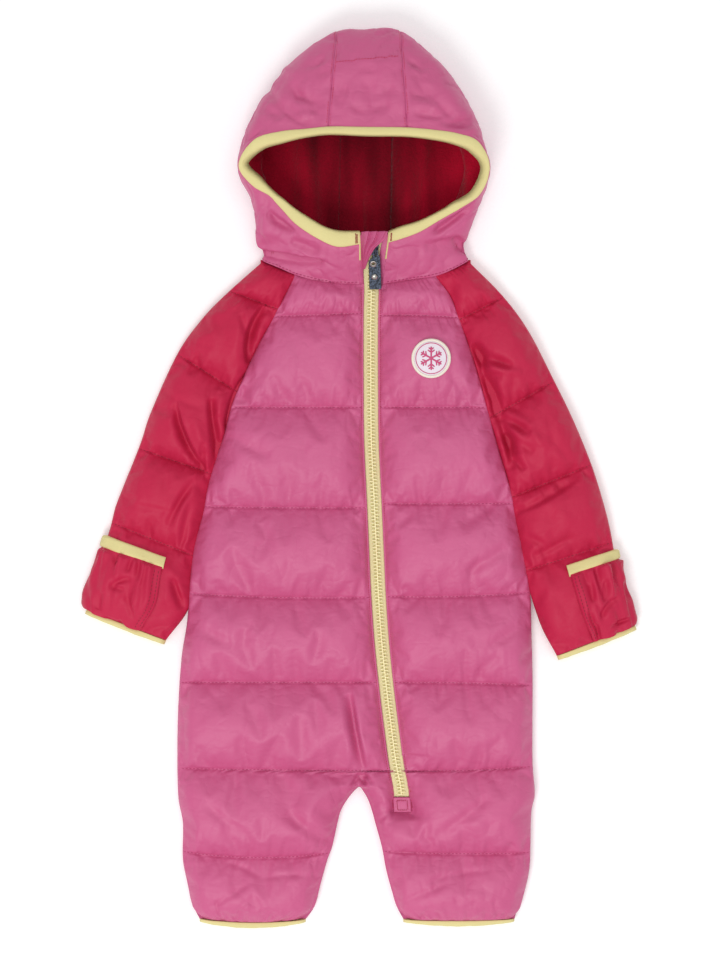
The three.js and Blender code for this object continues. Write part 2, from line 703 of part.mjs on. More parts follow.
// The hood as ribs from the neck seam up to its binding, from one side of the zip round to the other. b is
// the neck seam, s the widest place seen from above, e and i the outer and inner edges of the binding. A rib
// with floor 1 lies on the floor between b and s.
const hoodRibs = table(["bx", "by", "bz", "sx", "sy", "ex", "ey", "ix", "iy", "floor"], [
  [3.4, 176, 15.5, null, null, 2.7, 208.3, 2.2, 221, 0],
  [-28.4, 177.6, 15.5, null, null, -18.5, 205.7, -15.8, 221.4, 0],
  [-54, 183.8, 15.5, null, null, -37.4, 213.8, -28.4, 224.6, 0],
  [-71, 190.8, 15.5, null, null, -57.2, 227.3, -47.3, 235.4, 0],
  [-85, 197, 15, -90, 212, -68, 239, -59, 243.5, 0],
  [-83.5, 198.5, 6, -91.2, 220, -74, 246, -66.5, 249.5, 0.55],
  [-74, 198.5, 0, -90.5, 228.2, -78.8, 252, -72.5, 253.4, 1],
  [-67, 198.5, 0, -95, 252.5, -94, 260.6, -86, 266, 1],
  [-60.8, 198.5, 0, -106.2, 276.8, -106.2, 278.6, -101.3, 280.4, 1],
  [-51.8, 198.5, 0, -100.4, 311, -92.3, 302.4, -86, 293.9, 1],
  [-41, 198.5, 0, -86, 341.6, -68, 310, -66, 299.3, 1],
  [-28.4, 198.5, 0, -56.3, 377.6, -45.5, 311.9, -43.7, 304.2, 1],
  [-17.6, 198.5, 0, -18.5, 402.8, -25.7, 313.7, -25.7, 306, 1],
  [5.9, 198.5, 0, 9.5, 405, 8.6, 313.7, 8.6, 304.7, 1],
  [29.3, 198.5, 0, 38.3, 402.8, 43.7, 313.2, 43.7, 304.2, 1],
  [40, 198.5, 0, 70.7, 377.6, 67, 311.4, 65.3, 302, 1],
  [52.6, 198.5, 0, 96.8, 343.4, 88.7, 308.3, 85, 298.4, 1],
  [63.4, 198.5, 0, 110.3, 311.9, 106.7, 301.5, 102.2, 292, 1],
  [72.5, 198.5, 0, 117.9, 276.8, 117.9, 278.6, 113.9, 278.6, 1],
  [78, 198.5, 0, 111.2, 252.5, 110.3, 255.2, 104, 254.3, 1],
  [86, 198.5, 0, 103, 231.8, 92.3, 240.8, 85, 245.3, 1],
  [97.5, 198.5, 6, 100, 222, 84, 236, 79.5, 242, 0.55],
  [99.5, 197, 15, 95.9, 212.9, 74.3, 230.4, 71.6, 238, 0],
  [74.3, 184.5, 15.5, null, null, 56.3, 219.6, 54.5, 230, 0],
  [47.3, 180, 15.5, null, null, 40, 213.3, 38.3, 225, 0],
  [21.8, 176, 15.5, null, null, 27, 209.7, 28.4, 221, 0],
]);
const RIM_LOW = { y: 208, z: 37 };
const RIM_HIGH = { y: 314, z: 62 };
const RIM_LIP = 2.5;
const WIDEST_SHARE = 0.42;
const FLOOR_INSET = 18;
const FRONT_BULGE = 2;
const HOOD_CENTRE = { x: 6, y: 279 };
const CENTRE_PANEL = { from: 12, to: 14 };
const SEAM_STEP = 0.009;

const rimHeight = (y) => {
  const q = clamp01((y - RIM_LOW.y) / (RIM_HIGH.y - RIM_LOW.y));
  return RIM_LOW.z + (RIM_HIGH.z - RIM_LOW.z) * q * q;
};

// The six places that each rib passes through.
function ribPlaces(rib) {
  const base = new THREE.Vector3(rib.bx, rib.by, rib.bz);
  const edge = new THREE.Vector3(rib.ex, rib.ey, rimHeight(rib.ey));
  const lip = new THREE.Vector3(rib.ix, rib.iy, edge.z + RIM_LIP);
  const widest = new THREE.Vector3().lerpVectors(base, edge, 0.5);
  if (rib.sx === null) widest.z += FRONT_BULGE;
  else widest.set(rib.sx, rib.sy, WIDEST_SHARE * edge.z);
  const low = new THREE.Vector3().lerpVectors(base, widest, 0.5);
  if (rib.floor) {
    const inward = new THREE.Vector2(HOOD_CENTRE.x - rib.sx, HOOD_CENTRE.y - rib.sy).setLength(FLOOR_INSET);
    low.lerp(new THREE.Vector3(rib.sx + inward.x, rib.sy + inward.y, 0), rib.floor);
  }
  const high = new THREE.Vector3().lerpVectors(widest, edge, 0.35);
  high.z = lerp(widest.z, edge.z, rib.sx === null ? 0.4 : 0.72);
  return [base, low, widest, high, edge, lip];
}

const ribKnots = hoodRibs.map(ribPlaces);
const knotCurves = ribKnots[0].map(
  (_, k) => new THREE.CatmullRomCurve3(ribKnots.map((knots) => knots[k]), false, "centripetal"),
);

// A place on the hood's outside: at is counted in ribs, v runs from 0 at the neck seam to 1 at the binding
// and 1.25 at the binding's inner edge.
function hoodPoint(at, v) {
  const knots = knotCurves.map((curve) => curve.getPoint(at / (hoodRibs.length - 1)));
  const rib = new THREE.CatmullRomCurve3(knots, false, "centripetal");
  const p = rib.getPoint(Math.min(v * 0.8, 1));
  p.z = Math.max(p.z, 0);
  return p;
}

function hoodGrid(from, to, steps) {
  const stations = [from];
  for (let i = Math.ceil(from * 2 + 0.1); i < to * 2 - 0.1; i += 1) stations.push(i / 2);
  stations.push(to);
  return stations.map((at) =>
    steps.map((v, j) => {
      const p = hoodPoint(at, v);
      return point(p.x, p.y, p.z, j / (steps.length - 1));
    }),
  );
}

// Outward directions on the hood, taken a little way to each side of a place.
function hoodNormals(from, to, steps) {
  const step = 0.02;
  return hoodGrid(from, to, steps).map((row, i, rows) => {
    const at = i === 0 ? from : i === rows.length - 1 ? to : Math.ceil(from * 2 + 0.1) / 2 + (i - 1) / 2;
    return row.map((_, j) => {
      const v = steps[j];
      const next = hoodPoint(Math.min(at + 0.2, hoodRibs.length - 1), v);
      const around = next.sub(hoodPoint(Math.max(at - 0.2, 0), v));
      const up = hoodPoint(at, Math.min(v + step, 1.25)).sub(hoodPoint(at, Math.max(v - step, 0)));
      return around.cross(up).normalize().multiplyScalar(-1);
    });
  });
}

function aboveFloor(rows, low) {
  return rows.map((row) => row.map((p) => point(p.x, p.y, Math.max(p.z, low), p.s)));
}

const HOOD_STEPS = [0, 0.12, 0.25, 0.38, 0.5, 0.62, 0.74, 0.87, 1];
const LINING_STEPS = [0.01, ...HOOD_STEPS.slice(1)];

function makeHood() {
  const last = hoodRibs.length - 1;
  const panels = [
    ["side_right", 0, CENTRE_PANEL.from - SEAM_STEP],
    ["centre", CENTRE_PANEL.from + SEAM_STEP, CENTRE_PANEL.to - SEAM_STEP],
    ["side_left", CENTRE_PANEL.to + SEAM_STEP, last],
  ];
  for (const [name, from, to] of panels) {
    const outside = hoodGrid(from, to, HOOD_STEPS);
    const out = hoodNormals(from, to, HOOD_STEPS);
    add(`hood_${name}`, wall(outside, aboveFloor(moved(outside, out, -HOOD_WALL), HOOD_WALL - 1)), "pink");
    const liningGrid = hoodGrid(from, to, LINING_STEPS);
    const liningOut = hoodNormals(from, to, LINING_STEPS);
    const outer = moved(liningGrid, liningOut, -(HOOD_WALL + LINING_GAP));
    const face = aboveFloor(outer, HOOD_WALL - 1 + LINING_GAP);
    const inside = moved(liningGrid, liningOut, -(HOOD_WALL + LINING_GAP + LINING_WALL));
    const back = aboveFloor(inside, HOOD_WALL - 1 + LINING_GAP + LINING_WALL);
    const plain = back.map((row, i) => (i === 0 || i === back.length - 1 ? row : thin(row, [2, 3, 4, 6])));
    add(`lining_${name}`, wall(face, plain), "fleece");
  }
}

// The binding folds over the edges of the hood and its lining.
const BINDING_STEPS = [1.016, 1.08, 1.17, 1.245];
const BINDING_PROUD = [0.3, 1.2, 1.2, 0];

function makeHoodBinding() {
  const last = hoodRibs.length - 1;
  const middle = hoodGrid(0, last, BINDING_STEPS);
  const out = hoodNormals(0, last, BINDING_STEPS);
  const edge = hoodNormals(0, last, [1]);
  const depth = HOOD_WALL + LINING_GAP + LINING_WALL;
  const shift = (p, n, far) => point(p.x + n.x * far, p.y + n.y * far, p.z + n.z * far, p.s);
  const face = middle.map((row, i) => row.map((p, j) => shift(p, out[i][j], BINDING_PROUD[j])));
  const under = middle.map((row, i) => row.map((p) => shift(p, edge[i][0], -depth)));
  const plain = under.map((row, i) => (i === 0 || i === under.length - 1 ? row : thin(row, [])));
  add("hood_binding", wall(face, plain), "yellow");
}

// Height of the zip tape's face: level on the body, then up the front of the hood.
const tapeLevel = smooth(
  table(["y", "z"], [
    [220, 39], [216, 37.6], [208, 34.2], [200, 29], [192, 23.5], [184, 17.9], [177, 13.8], [171, 12.5],
    [165, TAPE_TOP], [140, TAPE_TOP], [-301, TAPE_TOP],
  ]),
  "y",
  "z",
);
// Edges of the tape beside the hood's front edges.
const tapeEdges = table(["y", "left", "right"], [
  [217, 4.2, 26.2], [208, 4.4, 25.2], [200, 4.7, 23.9], [192, 4.9, 22.6], [184, 5.1, 21.3], [178, 5.4, 19.4],
]);

function makeZip() {
  const rows = tapeEdges.map(({ y, left, right }) => ({ y, left, right }));
  const count = 24;
  for (let i = 0; i <= count; i += 1) {
    const y = lerp(172, ZIP_BOTTOM, i / count);
    rows.push({ y, left: zipLine(y) - TAPE_HALF, right: zipLine(y) + TAPE_HALF });
  }
  const face = rows.map(({ y, left, right }) =>
    [0, 0.5, 1].map((u) => point(lerp(left, right, u), y, tapeLevel(y), u)),
  );
  const under = face.map((row) => row.map((p) => point(p.x, p.y, p.z - TAPE_WALL, p.s)));
  add("zip_tape", wall(face, under), "tape");

  const chain = [];
  const chainTop = 194;
  const chainCount = 26;
  for (let i = 0; i <= chainCount; i += 1) {
    const y = lerp(chainTop, ZIP_BOTTOM + 1, i / chainCount);
    const z = tapeLevel(y) + 0.3;
    chain.push([-1, 0, 1].map((side) => point(zipLine(y) + side * CHAIN_HALF, y, z, (side + 1) / 2)));
  }
  const chainFace = chain.map((row) => row.map((p) => point(p.x, p.y, p.z + CHAIN_WALL, p.s)));
  add("zip_chain", wall(chainFace, chain), "chain");

  const tab = [];
  for (const f of [0, 0.12, 0.5, 0.88, 1]) {
    const y = lerp(ZIP_BOTTOM - LAYER_GAP, END_TAB_BOTTOM, f);
    const rise = 0.8 * swell(f);
    tab.push([0, 0.15, 0.5, 0.85, 1].map((u) => {
      const x = zipLine(y) + lerp(-TAPE_HALF, TAPE_HALF, u);
      return point(x, y, STITCH_TOP - 0.6 + rise * swell(u), u);
    }));
  }
  const tabUnder = tab.map((row) => row.map((p) => point(p.x, p.y, FRONT_BOTTOM, p.s)));
  add("zip_end_tab", wall(tab, tabUnder), "pink");
}

// The slider and its pull, in a frame that lies on the slope of the tape: x across, y up the zip, z off it.
const SLIDER = { x: 14.8, y: 207.6, length: 12, width: 8.6, body: 4.6, slope: 32.5 };
const BAIL = { radius: 3.4, wire: 0.65 };
const PULL = { x: 16.2, thick: 2, clear: 0.5, tilt: 1.5 };

function arcPoints(x, y, radius, from, to, count) {
  return Array.from({ length: count + 1 }, (_, i) => {
    const a = THREE.MathUtils.degToRad(lerp(from, to, i / count));
    return new THREE.Vector2(x + radius * Math.cos(a), y + radius * Math.sin(a));
  });
}

function slab(shape, depth, bottom, bevel) {
  const geometry = new THREE.ExtrudeGeometry(shape, {
    depth: depth - 2 * bevel,
    bevelEnabled: bevel > 0,
    bevelSize: bevel,
    bevelThickness: bevel,
    bevelOffset: -bevel,
    bevelSegments: 1,
    curveSegments: 6,
  });
  return geometry.translate(0, 0, bottom + bevel);
}

function makeSlider() {
  const slope = THREE.MathUtils.degToRad(SLIDER.slope);
  const base = new THREE.Group();
  base.position.set(SLIDER.x, SLIDER.y, tapeLevel(SLIDER.y) + 0.55);
  base.rotation.x = slope;
  suit.add(base);

  const half = SLIDER.width / 2;
  const body = new THREE.Shape([
    ...arcPoints(half - 2, SLIDER.length / 2 - 2, 2, 0, 90, 3),
    ...arcPoints(-half + 2, SLIDER.length / 2 - 2, 2, 90, 180, 3),
    ...arcPoints(-half + 2.2, -SLIDER.length / 2 + 1.4, 1.4, 180, 270, 3),
    ...arcPoints(half - 2.2, -SLIDER.length / 2 + 1.4, 1.4, 270, 360, 3),
  ]);
  const hinge = SLIDER.body + PULL.clear + PULL.thick / 2;
  const bailX = PULL.x - SLIDER.x;
  const arch = [];
  for (let i = 0; i <= 8; i += 1) {
    const a = THREE.MathUtils.degToRad(lerp(-34, 214, i / 8));
    arch.push(
      new THREE.Vector3(bailX, BAIL.radius * Math.cos(a), hinge + BAIL.radius * Math.sin(a)),
    );
  }
  const wire = new THREE.Shape(arcPoints(0, 0, BAIL.wire, 0, 315, 7));
  const bail = new THREE.ExtrudeGeometry(wire, { steps: 14, extrudePath: new THREE.CatmullRomCurve3(arch) });
  const whole = toSolid(slab(body, SLIDER.body, 0, 0.6)).add(toSolid(bail));
  add("zip_slider", toGeometry(whole), "steel", base);

  const pull = new THREE.Group();
  pull.position.set(bailX, 0, hinge);
  pull.rotation.z = THREE.MathUtils.degToRad(PULL.tilt);
  base.add(pull);
  const plate = new THREE.Shape([
    ...arcPoints(1.2, 0, 1.2, 0, 90, 3),
    ...arcPoints(-1.2, 0, 1.2, 90, 180, 3),
    new THREE.Vector2(-2.4, -5.5),
    new THREE.Vector2(-6.6, -11.5),
    ...arcPoints(-4.9, -37.3, 1.6, 180, 270, 3),
    ...arcPoints(2.9, -37.3, 1.6, 270, 360, 3),
    new THREE.Vector2(3.9, -7),
    new THREE.Vector2(2.4, -4.5),
  ]);
  const slot = new THREE.Path([
    ...arcPoints(0, -1.9, 1, 0, 180, 4),
    ...arcPoints(0, -5, 1, 180, 360, 4),
  ]);
  plate.holes.push(slot);
  const eye = { x: -2.4, y: -12.6, hole: 1.7 };
  plate.holes.push(new THREE.Path(arcPoints(eye.x, eye.y, eye.hole + 0.35, 0, 330, 11)));
  add("zip_pull", slab(plate, PULL.thick, -PULL.thick / 2, 0.35), "pull", pull);

  const ring = new THREE.LatheGeometry(
    [[eye.hole - 0.3, -0.9], [eye.hole, -0.9], [eye.hole, 1.3], [3.1, 1.3], [3, 1.8], [2.3, 2.1],
      [eye.hole - 0.3, 1.6], [eye.hole - 0.3, -0.9]].map(([r, z]) => new THREE.Vector2(r, z)),
    14,
  );
  add("pull_eyelet", ring.rotateX(Math.PI / 2).translate(eye.x, eye.y, 0), "stud", pull);
  const dome = new THREE.LatheGeometry(
    [[0, 1.3], [2.8, 1.3], [2.7, 1.9], [1.9, 2.5], [0, 2.8]].map(([r, z]) => new THREE.Vector2(r, z)),
    16,
  );
  add("pull_stud", dome.rotateX(Math.PI / 2).translate(-1.6, -25.8, 0), "stud", pull);
}

// The chin guard folds over the top of the zip and narrows down its left side.
const guardEdges = table(["y", "left", "right", "lift"], [
  [223.5, 5, 24, 3.2],
  [218, 5, 21, 6.4],
  [212, 5, 17, 8.6],
  [207, 5, 13.2, 7.8],
  [201, 5.2, 10, 6.4],
  [195, 5.4, 7.6, 3.6],
  [190.5, 5.6, 6.4, 2.2],
]);
const GUARD_WALL = 2.2;

function makeGuard() {
  const face = guardEdges.map(({ y, left, right, lift }) =>
    [0, 0.3, 0.65, 1].map((u) => {
      const bump = 0.7 * Math.sin(Math.PI * u);
      const clear = lerp(0.5, lift, Math.sqrt(u));
      return point(lerp(left, right, u), y, tapeLevel(y) + clear + GUARD_WALL + bump, u);
    }),
  );
  const under = face.map((row) => row.map((p) => point(p.x, p.y, p.z - GUARD_WALL, p.s)));
  add("chin_guard", wall(face, under), "pink");
}

// A round plate on the left chest, made from the panel's own points moved out.
function makeBadge() {
  const rest = (x, y) => heightOn(rowsFrontLeft, x, y) + 0.5;
  const size = 8;
  const disc = [];
  for (let i = 0; i <= size; i += 1) {
    const b = lerp(1, -1, i / size);
    const row = [];
    for (let j = 0; j <= size; j += 1) {
      const a = lerp(-1, 1, j / size);
      const inside = BADGE.radius - BADGE.rim;
      const x = BADGE.x + inside * a * Math.sqrt(1 - (b * b) / 2);
      const y = BADGE.y + inside * b * Math.sqrt(1 - (a * a) / 2);
      row.push(point(x, y, rest(x, y), j / size));
    }
    disc.push(row);
  }
  const discTop = disc.map((row) => row.map((p) => point(p.x, p.y, p.z + BADGE.wall, p.s)));
  add("badge", wall(discTop, disc), "badge");
  const around = 32;
  const ring = (radius, lift) =>
    Array.from({ length: around }, (_, i) => {
      const a = (2 * Math.PI * i) / around;
      const x = BADGE.x + radius * Math.cos(a);
      const y = BADGE.y + radius * Math.sin(a);
      return point(x, y, rest(x, y) + lift, i / around);
    });
  const inner = BADGE.radius - BADGE.rim + 0.35;
  const top = BADGE.wall + BADGE.ridge;
  const halfway = (inner + BADGE.radius) / 2;
  const outside = [ring(inner, top - 0.3), ring(halfway, top), ring(BADGE.radius, top - 0.4)];
  const under = [ring(inner, 0), ring(halfway, 0), ring(BADGE.radius, 0)];
  add("badge_rim", wall(outside, under, true), "badge");
}

makeFronts();
makeBack("back_right", backSideRight, inseamRight, UNDERARM_RIGHT, -1);
makeBack("back_left", backSideLeft, inseamLeft, UNDERARM_LEFT, 1);
makeSleeve("right", sleeveRightTable, shapeSleeveRight, 5, 1);
makeSleeve("left", sleeveLeftTable, shapeSleeveLeft, 6, -1);
makeBindings();
makeHood();
makeHoodBinding();
makeZip();
makeSlider();
makeGuard();
makeBadge();

// The origin is under the middle of the whole suit, on the surface it lies on.
suit.updateMatrixWorld(true);
const whole = new THREE.Box3().setFromObject(suit, true);
suit.position.set(-(whole.min.x + whole.max.x) / 2, -(whole.min.y + whole.max.y) / 2, -whole.min.z);

export default suit;
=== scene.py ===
"""Looks of a baby snowsuit laid flat on its back: quilted cloth, lined hood, zip, bindings and badge.

Sizes are in millimetres in the plan of the suit, +Y towards the hood and +Z off the floor. The class Plan
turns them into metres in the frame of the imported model.
"""

import logging
import math
import random
from dataclasses import dataclass, field
from enum import Enum

import bpy
import numpy as np
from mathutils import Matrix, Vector, noise


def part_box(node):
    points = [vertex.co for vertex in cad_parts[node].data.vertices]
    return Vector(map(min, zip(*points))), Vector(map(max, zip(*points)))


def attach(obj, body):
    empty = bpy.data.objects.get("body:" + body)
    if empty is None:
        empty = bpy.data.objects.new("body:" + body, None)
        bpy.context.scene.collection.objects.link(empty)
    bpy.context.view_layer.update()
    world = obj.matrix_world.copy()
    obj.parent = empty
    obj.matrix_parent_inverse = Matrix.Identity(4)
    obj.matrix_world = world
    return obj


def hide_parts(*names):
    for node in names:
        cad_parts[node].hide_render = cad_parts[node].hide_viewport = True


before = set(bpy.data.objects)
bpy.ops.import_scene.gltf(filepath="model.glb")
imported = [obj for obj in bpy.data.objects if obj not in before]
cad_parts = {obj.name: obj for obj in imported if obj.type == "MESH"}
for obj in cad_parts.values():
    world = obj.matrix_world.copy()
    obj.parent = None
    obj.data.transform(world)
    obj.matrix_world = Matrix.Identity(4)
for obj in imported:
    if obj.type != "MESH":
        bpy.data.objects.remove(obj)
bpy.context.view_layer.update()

logging.basicConfig(level=logging.INFO, format="%(message)s")
LOG = logging.getLogger("snowsuit")

GARMENT = "garment"
MM = 0.001
Grid = np.ndarray


class Side(Enum):
    """The wearer's right or left, seen on the left or right of a picture taken from above."""

    RIGHT = "right"
    LEFT = "left"


class Weave(Enum):
    """How the surface of a cloth is made."""

    TAFFETA = "taffeta"
    FLEECE = "fleece"
    RIB = "rib"
    TAPE = "tape"


# Shader maths


class Value:
    """A shader socket that takes part in Python expressions."""

    def __init__(self, look: "Look", socket: bpy.types.NodeSocket) -> None:
        """Keeps the look that owns the socket."""
        self.look = look
        self.socket = socket

    def _math(self, operation: str, *values: "Value | float") -> "Value":
        """Adds a Math node."""
        return self.look.node("ShaderNodeMath", {"operation": operation}, dict(enumerate(values)))

    def __add__(self, other: "Value | float") -> "Value":
        """Returns the sum."""
        return self._math("ADD", self, other)

    def __radd__(self, other: float) -> "Value":
        """Returns the sum with a number on the left."""
        return self._math("ADD", other, self)

    def __sub__(self, other: "Value | float") -> "Value":
        """Returns the difference."""
        return self._math("SUBTRACT", self, other)

    def __rsub__(self, other: float) -> "Value":
        """Returns the difference with a number on the left."""
        return self._math("SUBTRACT", other, self)

    def __mul__(self, other: "Value | float") -> "Value":
        """Returns the product."""
        return self._math("MULTIPLY", self, other)

    def __rmul__(self, other: float) -> "Value":
        """Returns the product with a number on the left."""
        return self._math("MULTIPLY", other, self)


class Look:
    """One material's node tree, built from named parts."""

    def __init__(self, name: str) -> None:
        """Starts a material with one Principled shader.

        Args:
            name: The material's name.
        """
        self.material = bpy.data.materials.new(name)
        self.material.use_nodes = True
        self.tree = self.material.node_tree
        self.shader = self.tree.nodes["Principled BSDF"]

    def node(
        self, kind: str, settings: dict[str, object] | None = None,
        inputs: dict[object, object] | None = None,
        output: str | int = 0,
    ) -> Value:
        """Adds any node.

        Args:
            kind: The node's type.
            settings: Properties that are set first. A ramp's stops are given as "stops".
            inputs: Values or links of its sockets, by name or number.
            output: The socket that is returned.

        Returns:
            One of the node's outputs.
        """
        made = self.tree.nodes.new(kind)
        for name, value in (settings or {}).items():
            if name == "stops":
                self._set_stops(made, value)
            else:
                setattr(made, name, value)
        for key, value in (inputs or {}).items():
            if isinstance(value, Value):
                self.tree.links.new(value.socket, made.inputs[key])
            else:
                made.inputs[key].default_value = value
        return Value(self, made.outputs[output])

    @staticmethod
    def _set_stops(ramp: bpy.types.Node, stops: list[tuple[float, float]]) -> None:
        """Gives a ramp its grey stops.

        Args:
            ramp: A Color Ramp node.
            stops: Positions and grey levels.
        """
        elements = ramp.color_ramp.elements
        while len(elements) < len(stops):
            elements.new(0.5)
        for element, (position, level) in zip(elements, stops):
            element.position = position
            element.color = (level, level, level, 1)

    def coordinates(self) -> Value:
        """Returns the object's own coordinates, in metres."""
        return self.node("ShaderNodeTexCoord", output="Object")

    def stretched(self, scale: tuple[float, float, float]) -> Value:
        """Returns the object's coordinates, each multiplied by its own number."""
        where = self.coordinates()
        return self.node("ShaderNodeVectorMath", {"operation": "MULTIPLY"}, {0: where, 1: scale})

    def clouds(self, scale: float, detail: float, where: Value | None = None) -> Value:
        """Returns noise from 0 to 1."""
        inputs = {"Vector": where or self.coordinates(), "Scale": scale, "Detail": detail}
        return self.node("ShaderNodeTexNoise", None, inputs, "Fac")

    def crumple(self, scale: float, where: Value) -> Value:
        """Returns soft ground from 0 to 1 with sharp creases along winding lines."""
        apart = self.node(
            "ShaderNodeMath", {"operation": "ABSOLUTE"}, {0: self.clouds(scale, 2, where) - 0.5}
        )
        return self.node("ShaderNodeMath", {"operation": "SMOOTH_MIN"}, {0: apart * 5.0, 1: 0.6, 2: 0.3})

    def lines(self, axis: str, scale: float) -> Value:
        """Returns straight waves from 0 to 1."""
        settings = {"wave_type": "BANDS", "bands_direction": axis, "wave_profile": "SIN"}
        return self.node(
            "ShaderNodeTexWave", settings, {"Vector": self.coordinates(), "Scale": scale}, "Fac"
        )

    def blend(self, share: Value | float, low: tuple[float, ...], high: tuple[float, ...]) -> Value:
        """Returns a colour between two."""
        settings = {"data_type": "RGBA"}
        return self.node("ShaderNodeMix", settings, {0: share, 6: (*low, 1), 7: (*high, 1)}, 2)

    def relief(self, height: Value, distance: float, strength: float = 1.0) -> None:
        """Feeds the shader's normal from a height.

        Args:
            height: The height, as a share of distance.
            distance: The height of 1, in metres.
            strength: The share of the effect that shows.
        """
        inputs = {"Height": height, "Distance": distance, "Strength": strength}
        bump = self.node("ShaderNodeBump", None, inputs)
        self.tree.links.new(bump.socket, self.shader.inputs["Normal"])

    def feed(self, socket: str, value: Value) -> None:
        """Links a value to one of the shader's sockets."""
        self.tree.links.new(value.socket, self.shader.inputs[socket])

    def set(self, **levels: float | tuple[float, ...]) -> None:
        """Sets constants on the shader's own sockets."""
        for name, value in levels.items():
            self.shader.inputs[name.replace("_", " ")].default_value = value


def shade(colour: tuple[float, float, float], factor: float) -> tuple[float, float, float]:
    """Returns a colour made darker or lighter."""
    return tuple(min(channel * factor, 1.0) for channel in colour)


def linear(code: str) -> tuple[float, float, float]:
    """Returns the linear colour of a six-figure display colour."""
    levels = [int(code[i : i + 2], 16) / 255 for i in (0, 2, 4)]
    return tuple(v / 12.92 if v <= 0.04045 else ((v + 0.055) / 1.055) ** 2.4 for v in levels)


@dataclass(frozen=True)
class Cloth:
    """A woven or knitted finish."""

    name: str
    colour: str
    weave: Weave
    roughness: float = 0.5
    sheen: float = 0.1
    specular: float = 0.4
    crinkle: float = 0.0

    def material(self) -> bpy.types.Material:
        """Builds the material: colour drift, threads and small creases, and on fleece a painted shade,
        darker low in the hood's middle and along streaks.
        """
        look = Look(self.name)
        base = linear(self.colour)
        drift = look.clouds(18, 3)
        grain = look.clouds(700, 2)
        if self.weave is Weave.FLEECE:
            pile = look.clouds(420, 4)
            tufts = look.clouds(1500, 2)
            # Painted shade: the fleece is darker towards the middle and the bottom of the hood, where shade
            # falls in the cavity, and lighter towards the rim, where light reaches.
            height = look.node("ShaderNodeSeparateXYZ", None, {0: look.coordinates()}, "Z")
            sideways = look.node("ShaderNodeSeparateXYZ", None, {0: look.coordinates()}, "X")
            aside = look.node("ShaderNodeMath", {"operation": "ABSOLUTE"}, {0: sideways + 0.006})
            reach = aside + height * 0.6 + drift * 0.05
            painted_cavity_shade = look.node("ShaderNodeMapRange", None, {0: reach, 1: 0.072, 2: 0.15, 3: 0.0, 4: 1.0})
            # Painted shade of folds: stretched noise streaks darken the fleece where its folds would be
            # shaded.
            folds = look.clouds(42, 2, look.stretched((1.0, 0.16, 0.4)))
            deep = look.node("ShaderNodeMapRange", None, {0: folds, 1: 0.36, 2: 0.62, 3: 0.0, 4: 1.0})
            shown = pile * 0.16 + deep * 0.26 + painted_cavity_shade * 0.58
            look.feed("Base Color", look.blend(shown, shade(base, 0.3), shade(base, 2.0)))
            look.relief(pile * 0.7 + tufts * 0.3, 0.0016)
        elif self.weave is Weave.RIB:
            ribs = look.clouds(900, 1)
            look.feed(
                "Base Color", look.blend(drift * 0.6 + grain * 0.4, shade(base, 0.9), shade(base, 1.06))
            )
            look.relief(ribs * 0.6 + look.clouds(260, 2) * 0.4, 0.0005)
        elif self.weave is Weave.TAPE:
            rows = look.lines("Y", 390)
            look.feed(
                "Base Color", look.blend(rows * 0.5 + grain * 0.5, shade(base, 0.86), shade(base, 1.06))
            )
            look.relief(rows * 0.7 + grain * 0.3, 0.0003)
        else:
            warp = look.lines("X", 700)
            weft = look.lines("Y", 700)
            look.feed(
                "Base Color", look.blend(drift * 0.8 + grain * 0.2, shade(base, 0.95), shade(base, 1.05))
            )
            broad = look.crumple(30, look.stretched((1.0, 0.5, 0.3)))
            fine = look.crumple(80, look.stretched((0.7, 1.0, 0.3)))
            threads = warp * weft
            look.relief((broad * 0.6 + fine * 0.22) * self.crinkle + threads * 0.02 + grain * 0.01, 0.002)
            look.feed("Roughness", drift * 0.12 + (self.roughness - 0.06))
        if self.weave is not Weave.TAFFETA:
            look.set(Roughness=self.roughness)
        look.set(Sheen_Weight=self.sheen, Sheen_Roughness=0.5, Specular_IOR_Level=self.specular)
        return look.material


@dataclass(frozen=True)
class Hard:
    """Moulded plastic or metal."""

    name: str
    colour: str
    roughness: float = 0.4
    metal: float = 0.0
    speckle: float = 0.0
    wear: float = 0.0003

    def material(self) -> bpy.types.Material:
        """Builds the material: a speckle, worn roughness and a fine relief."""
        look = Look(self.name)
        base = linear(self.colour)
        spots = look.clouds(620, 4)
        contrast = look.node(
            "ShaderNodeValToRGB", {"stops": [(0.42, 0.0), (0.62, 1.0)]}, {0: spots}, "Color"
        )
        dark, light = shade(base, 1 - 0.6 * self.speckle), shade(base, 1 + 1.4 * self.speckle)
        look.feed("Base Color", look.blend(contrast, dark, light))
        look.feed("Roughness", look.clouds(300, 2) * 0.2 + (self.roughness - 0.1))
        look.relief(look.clouds(900, 2), self.wear)
        look.set(Metallic=self.metal)
        return look.material


@dataclass(frozen=True)
class Floor:
    """The pale surface under the suit."""

    level: float = 0.93

    def material(self) -> bpy.types.Material:
        """Builds a matte near-white paint."""
        look = Look("floor_paint")
        tone = look.clouds(9, 4)
        look.feed("Base Color", look.blend(tone, (self.level,) * 3, (self.level + 0.02,) * 3))
        look.relief(look.clouds(400, 3), 0.0002)
        look.set(
            Roughness=0.9, Specular_IOR_Level=0.1, Emission_Color=(1.0, 1.0, 1.0, 1.0),
            Emission_Strength=0.14
        )
        return look.material


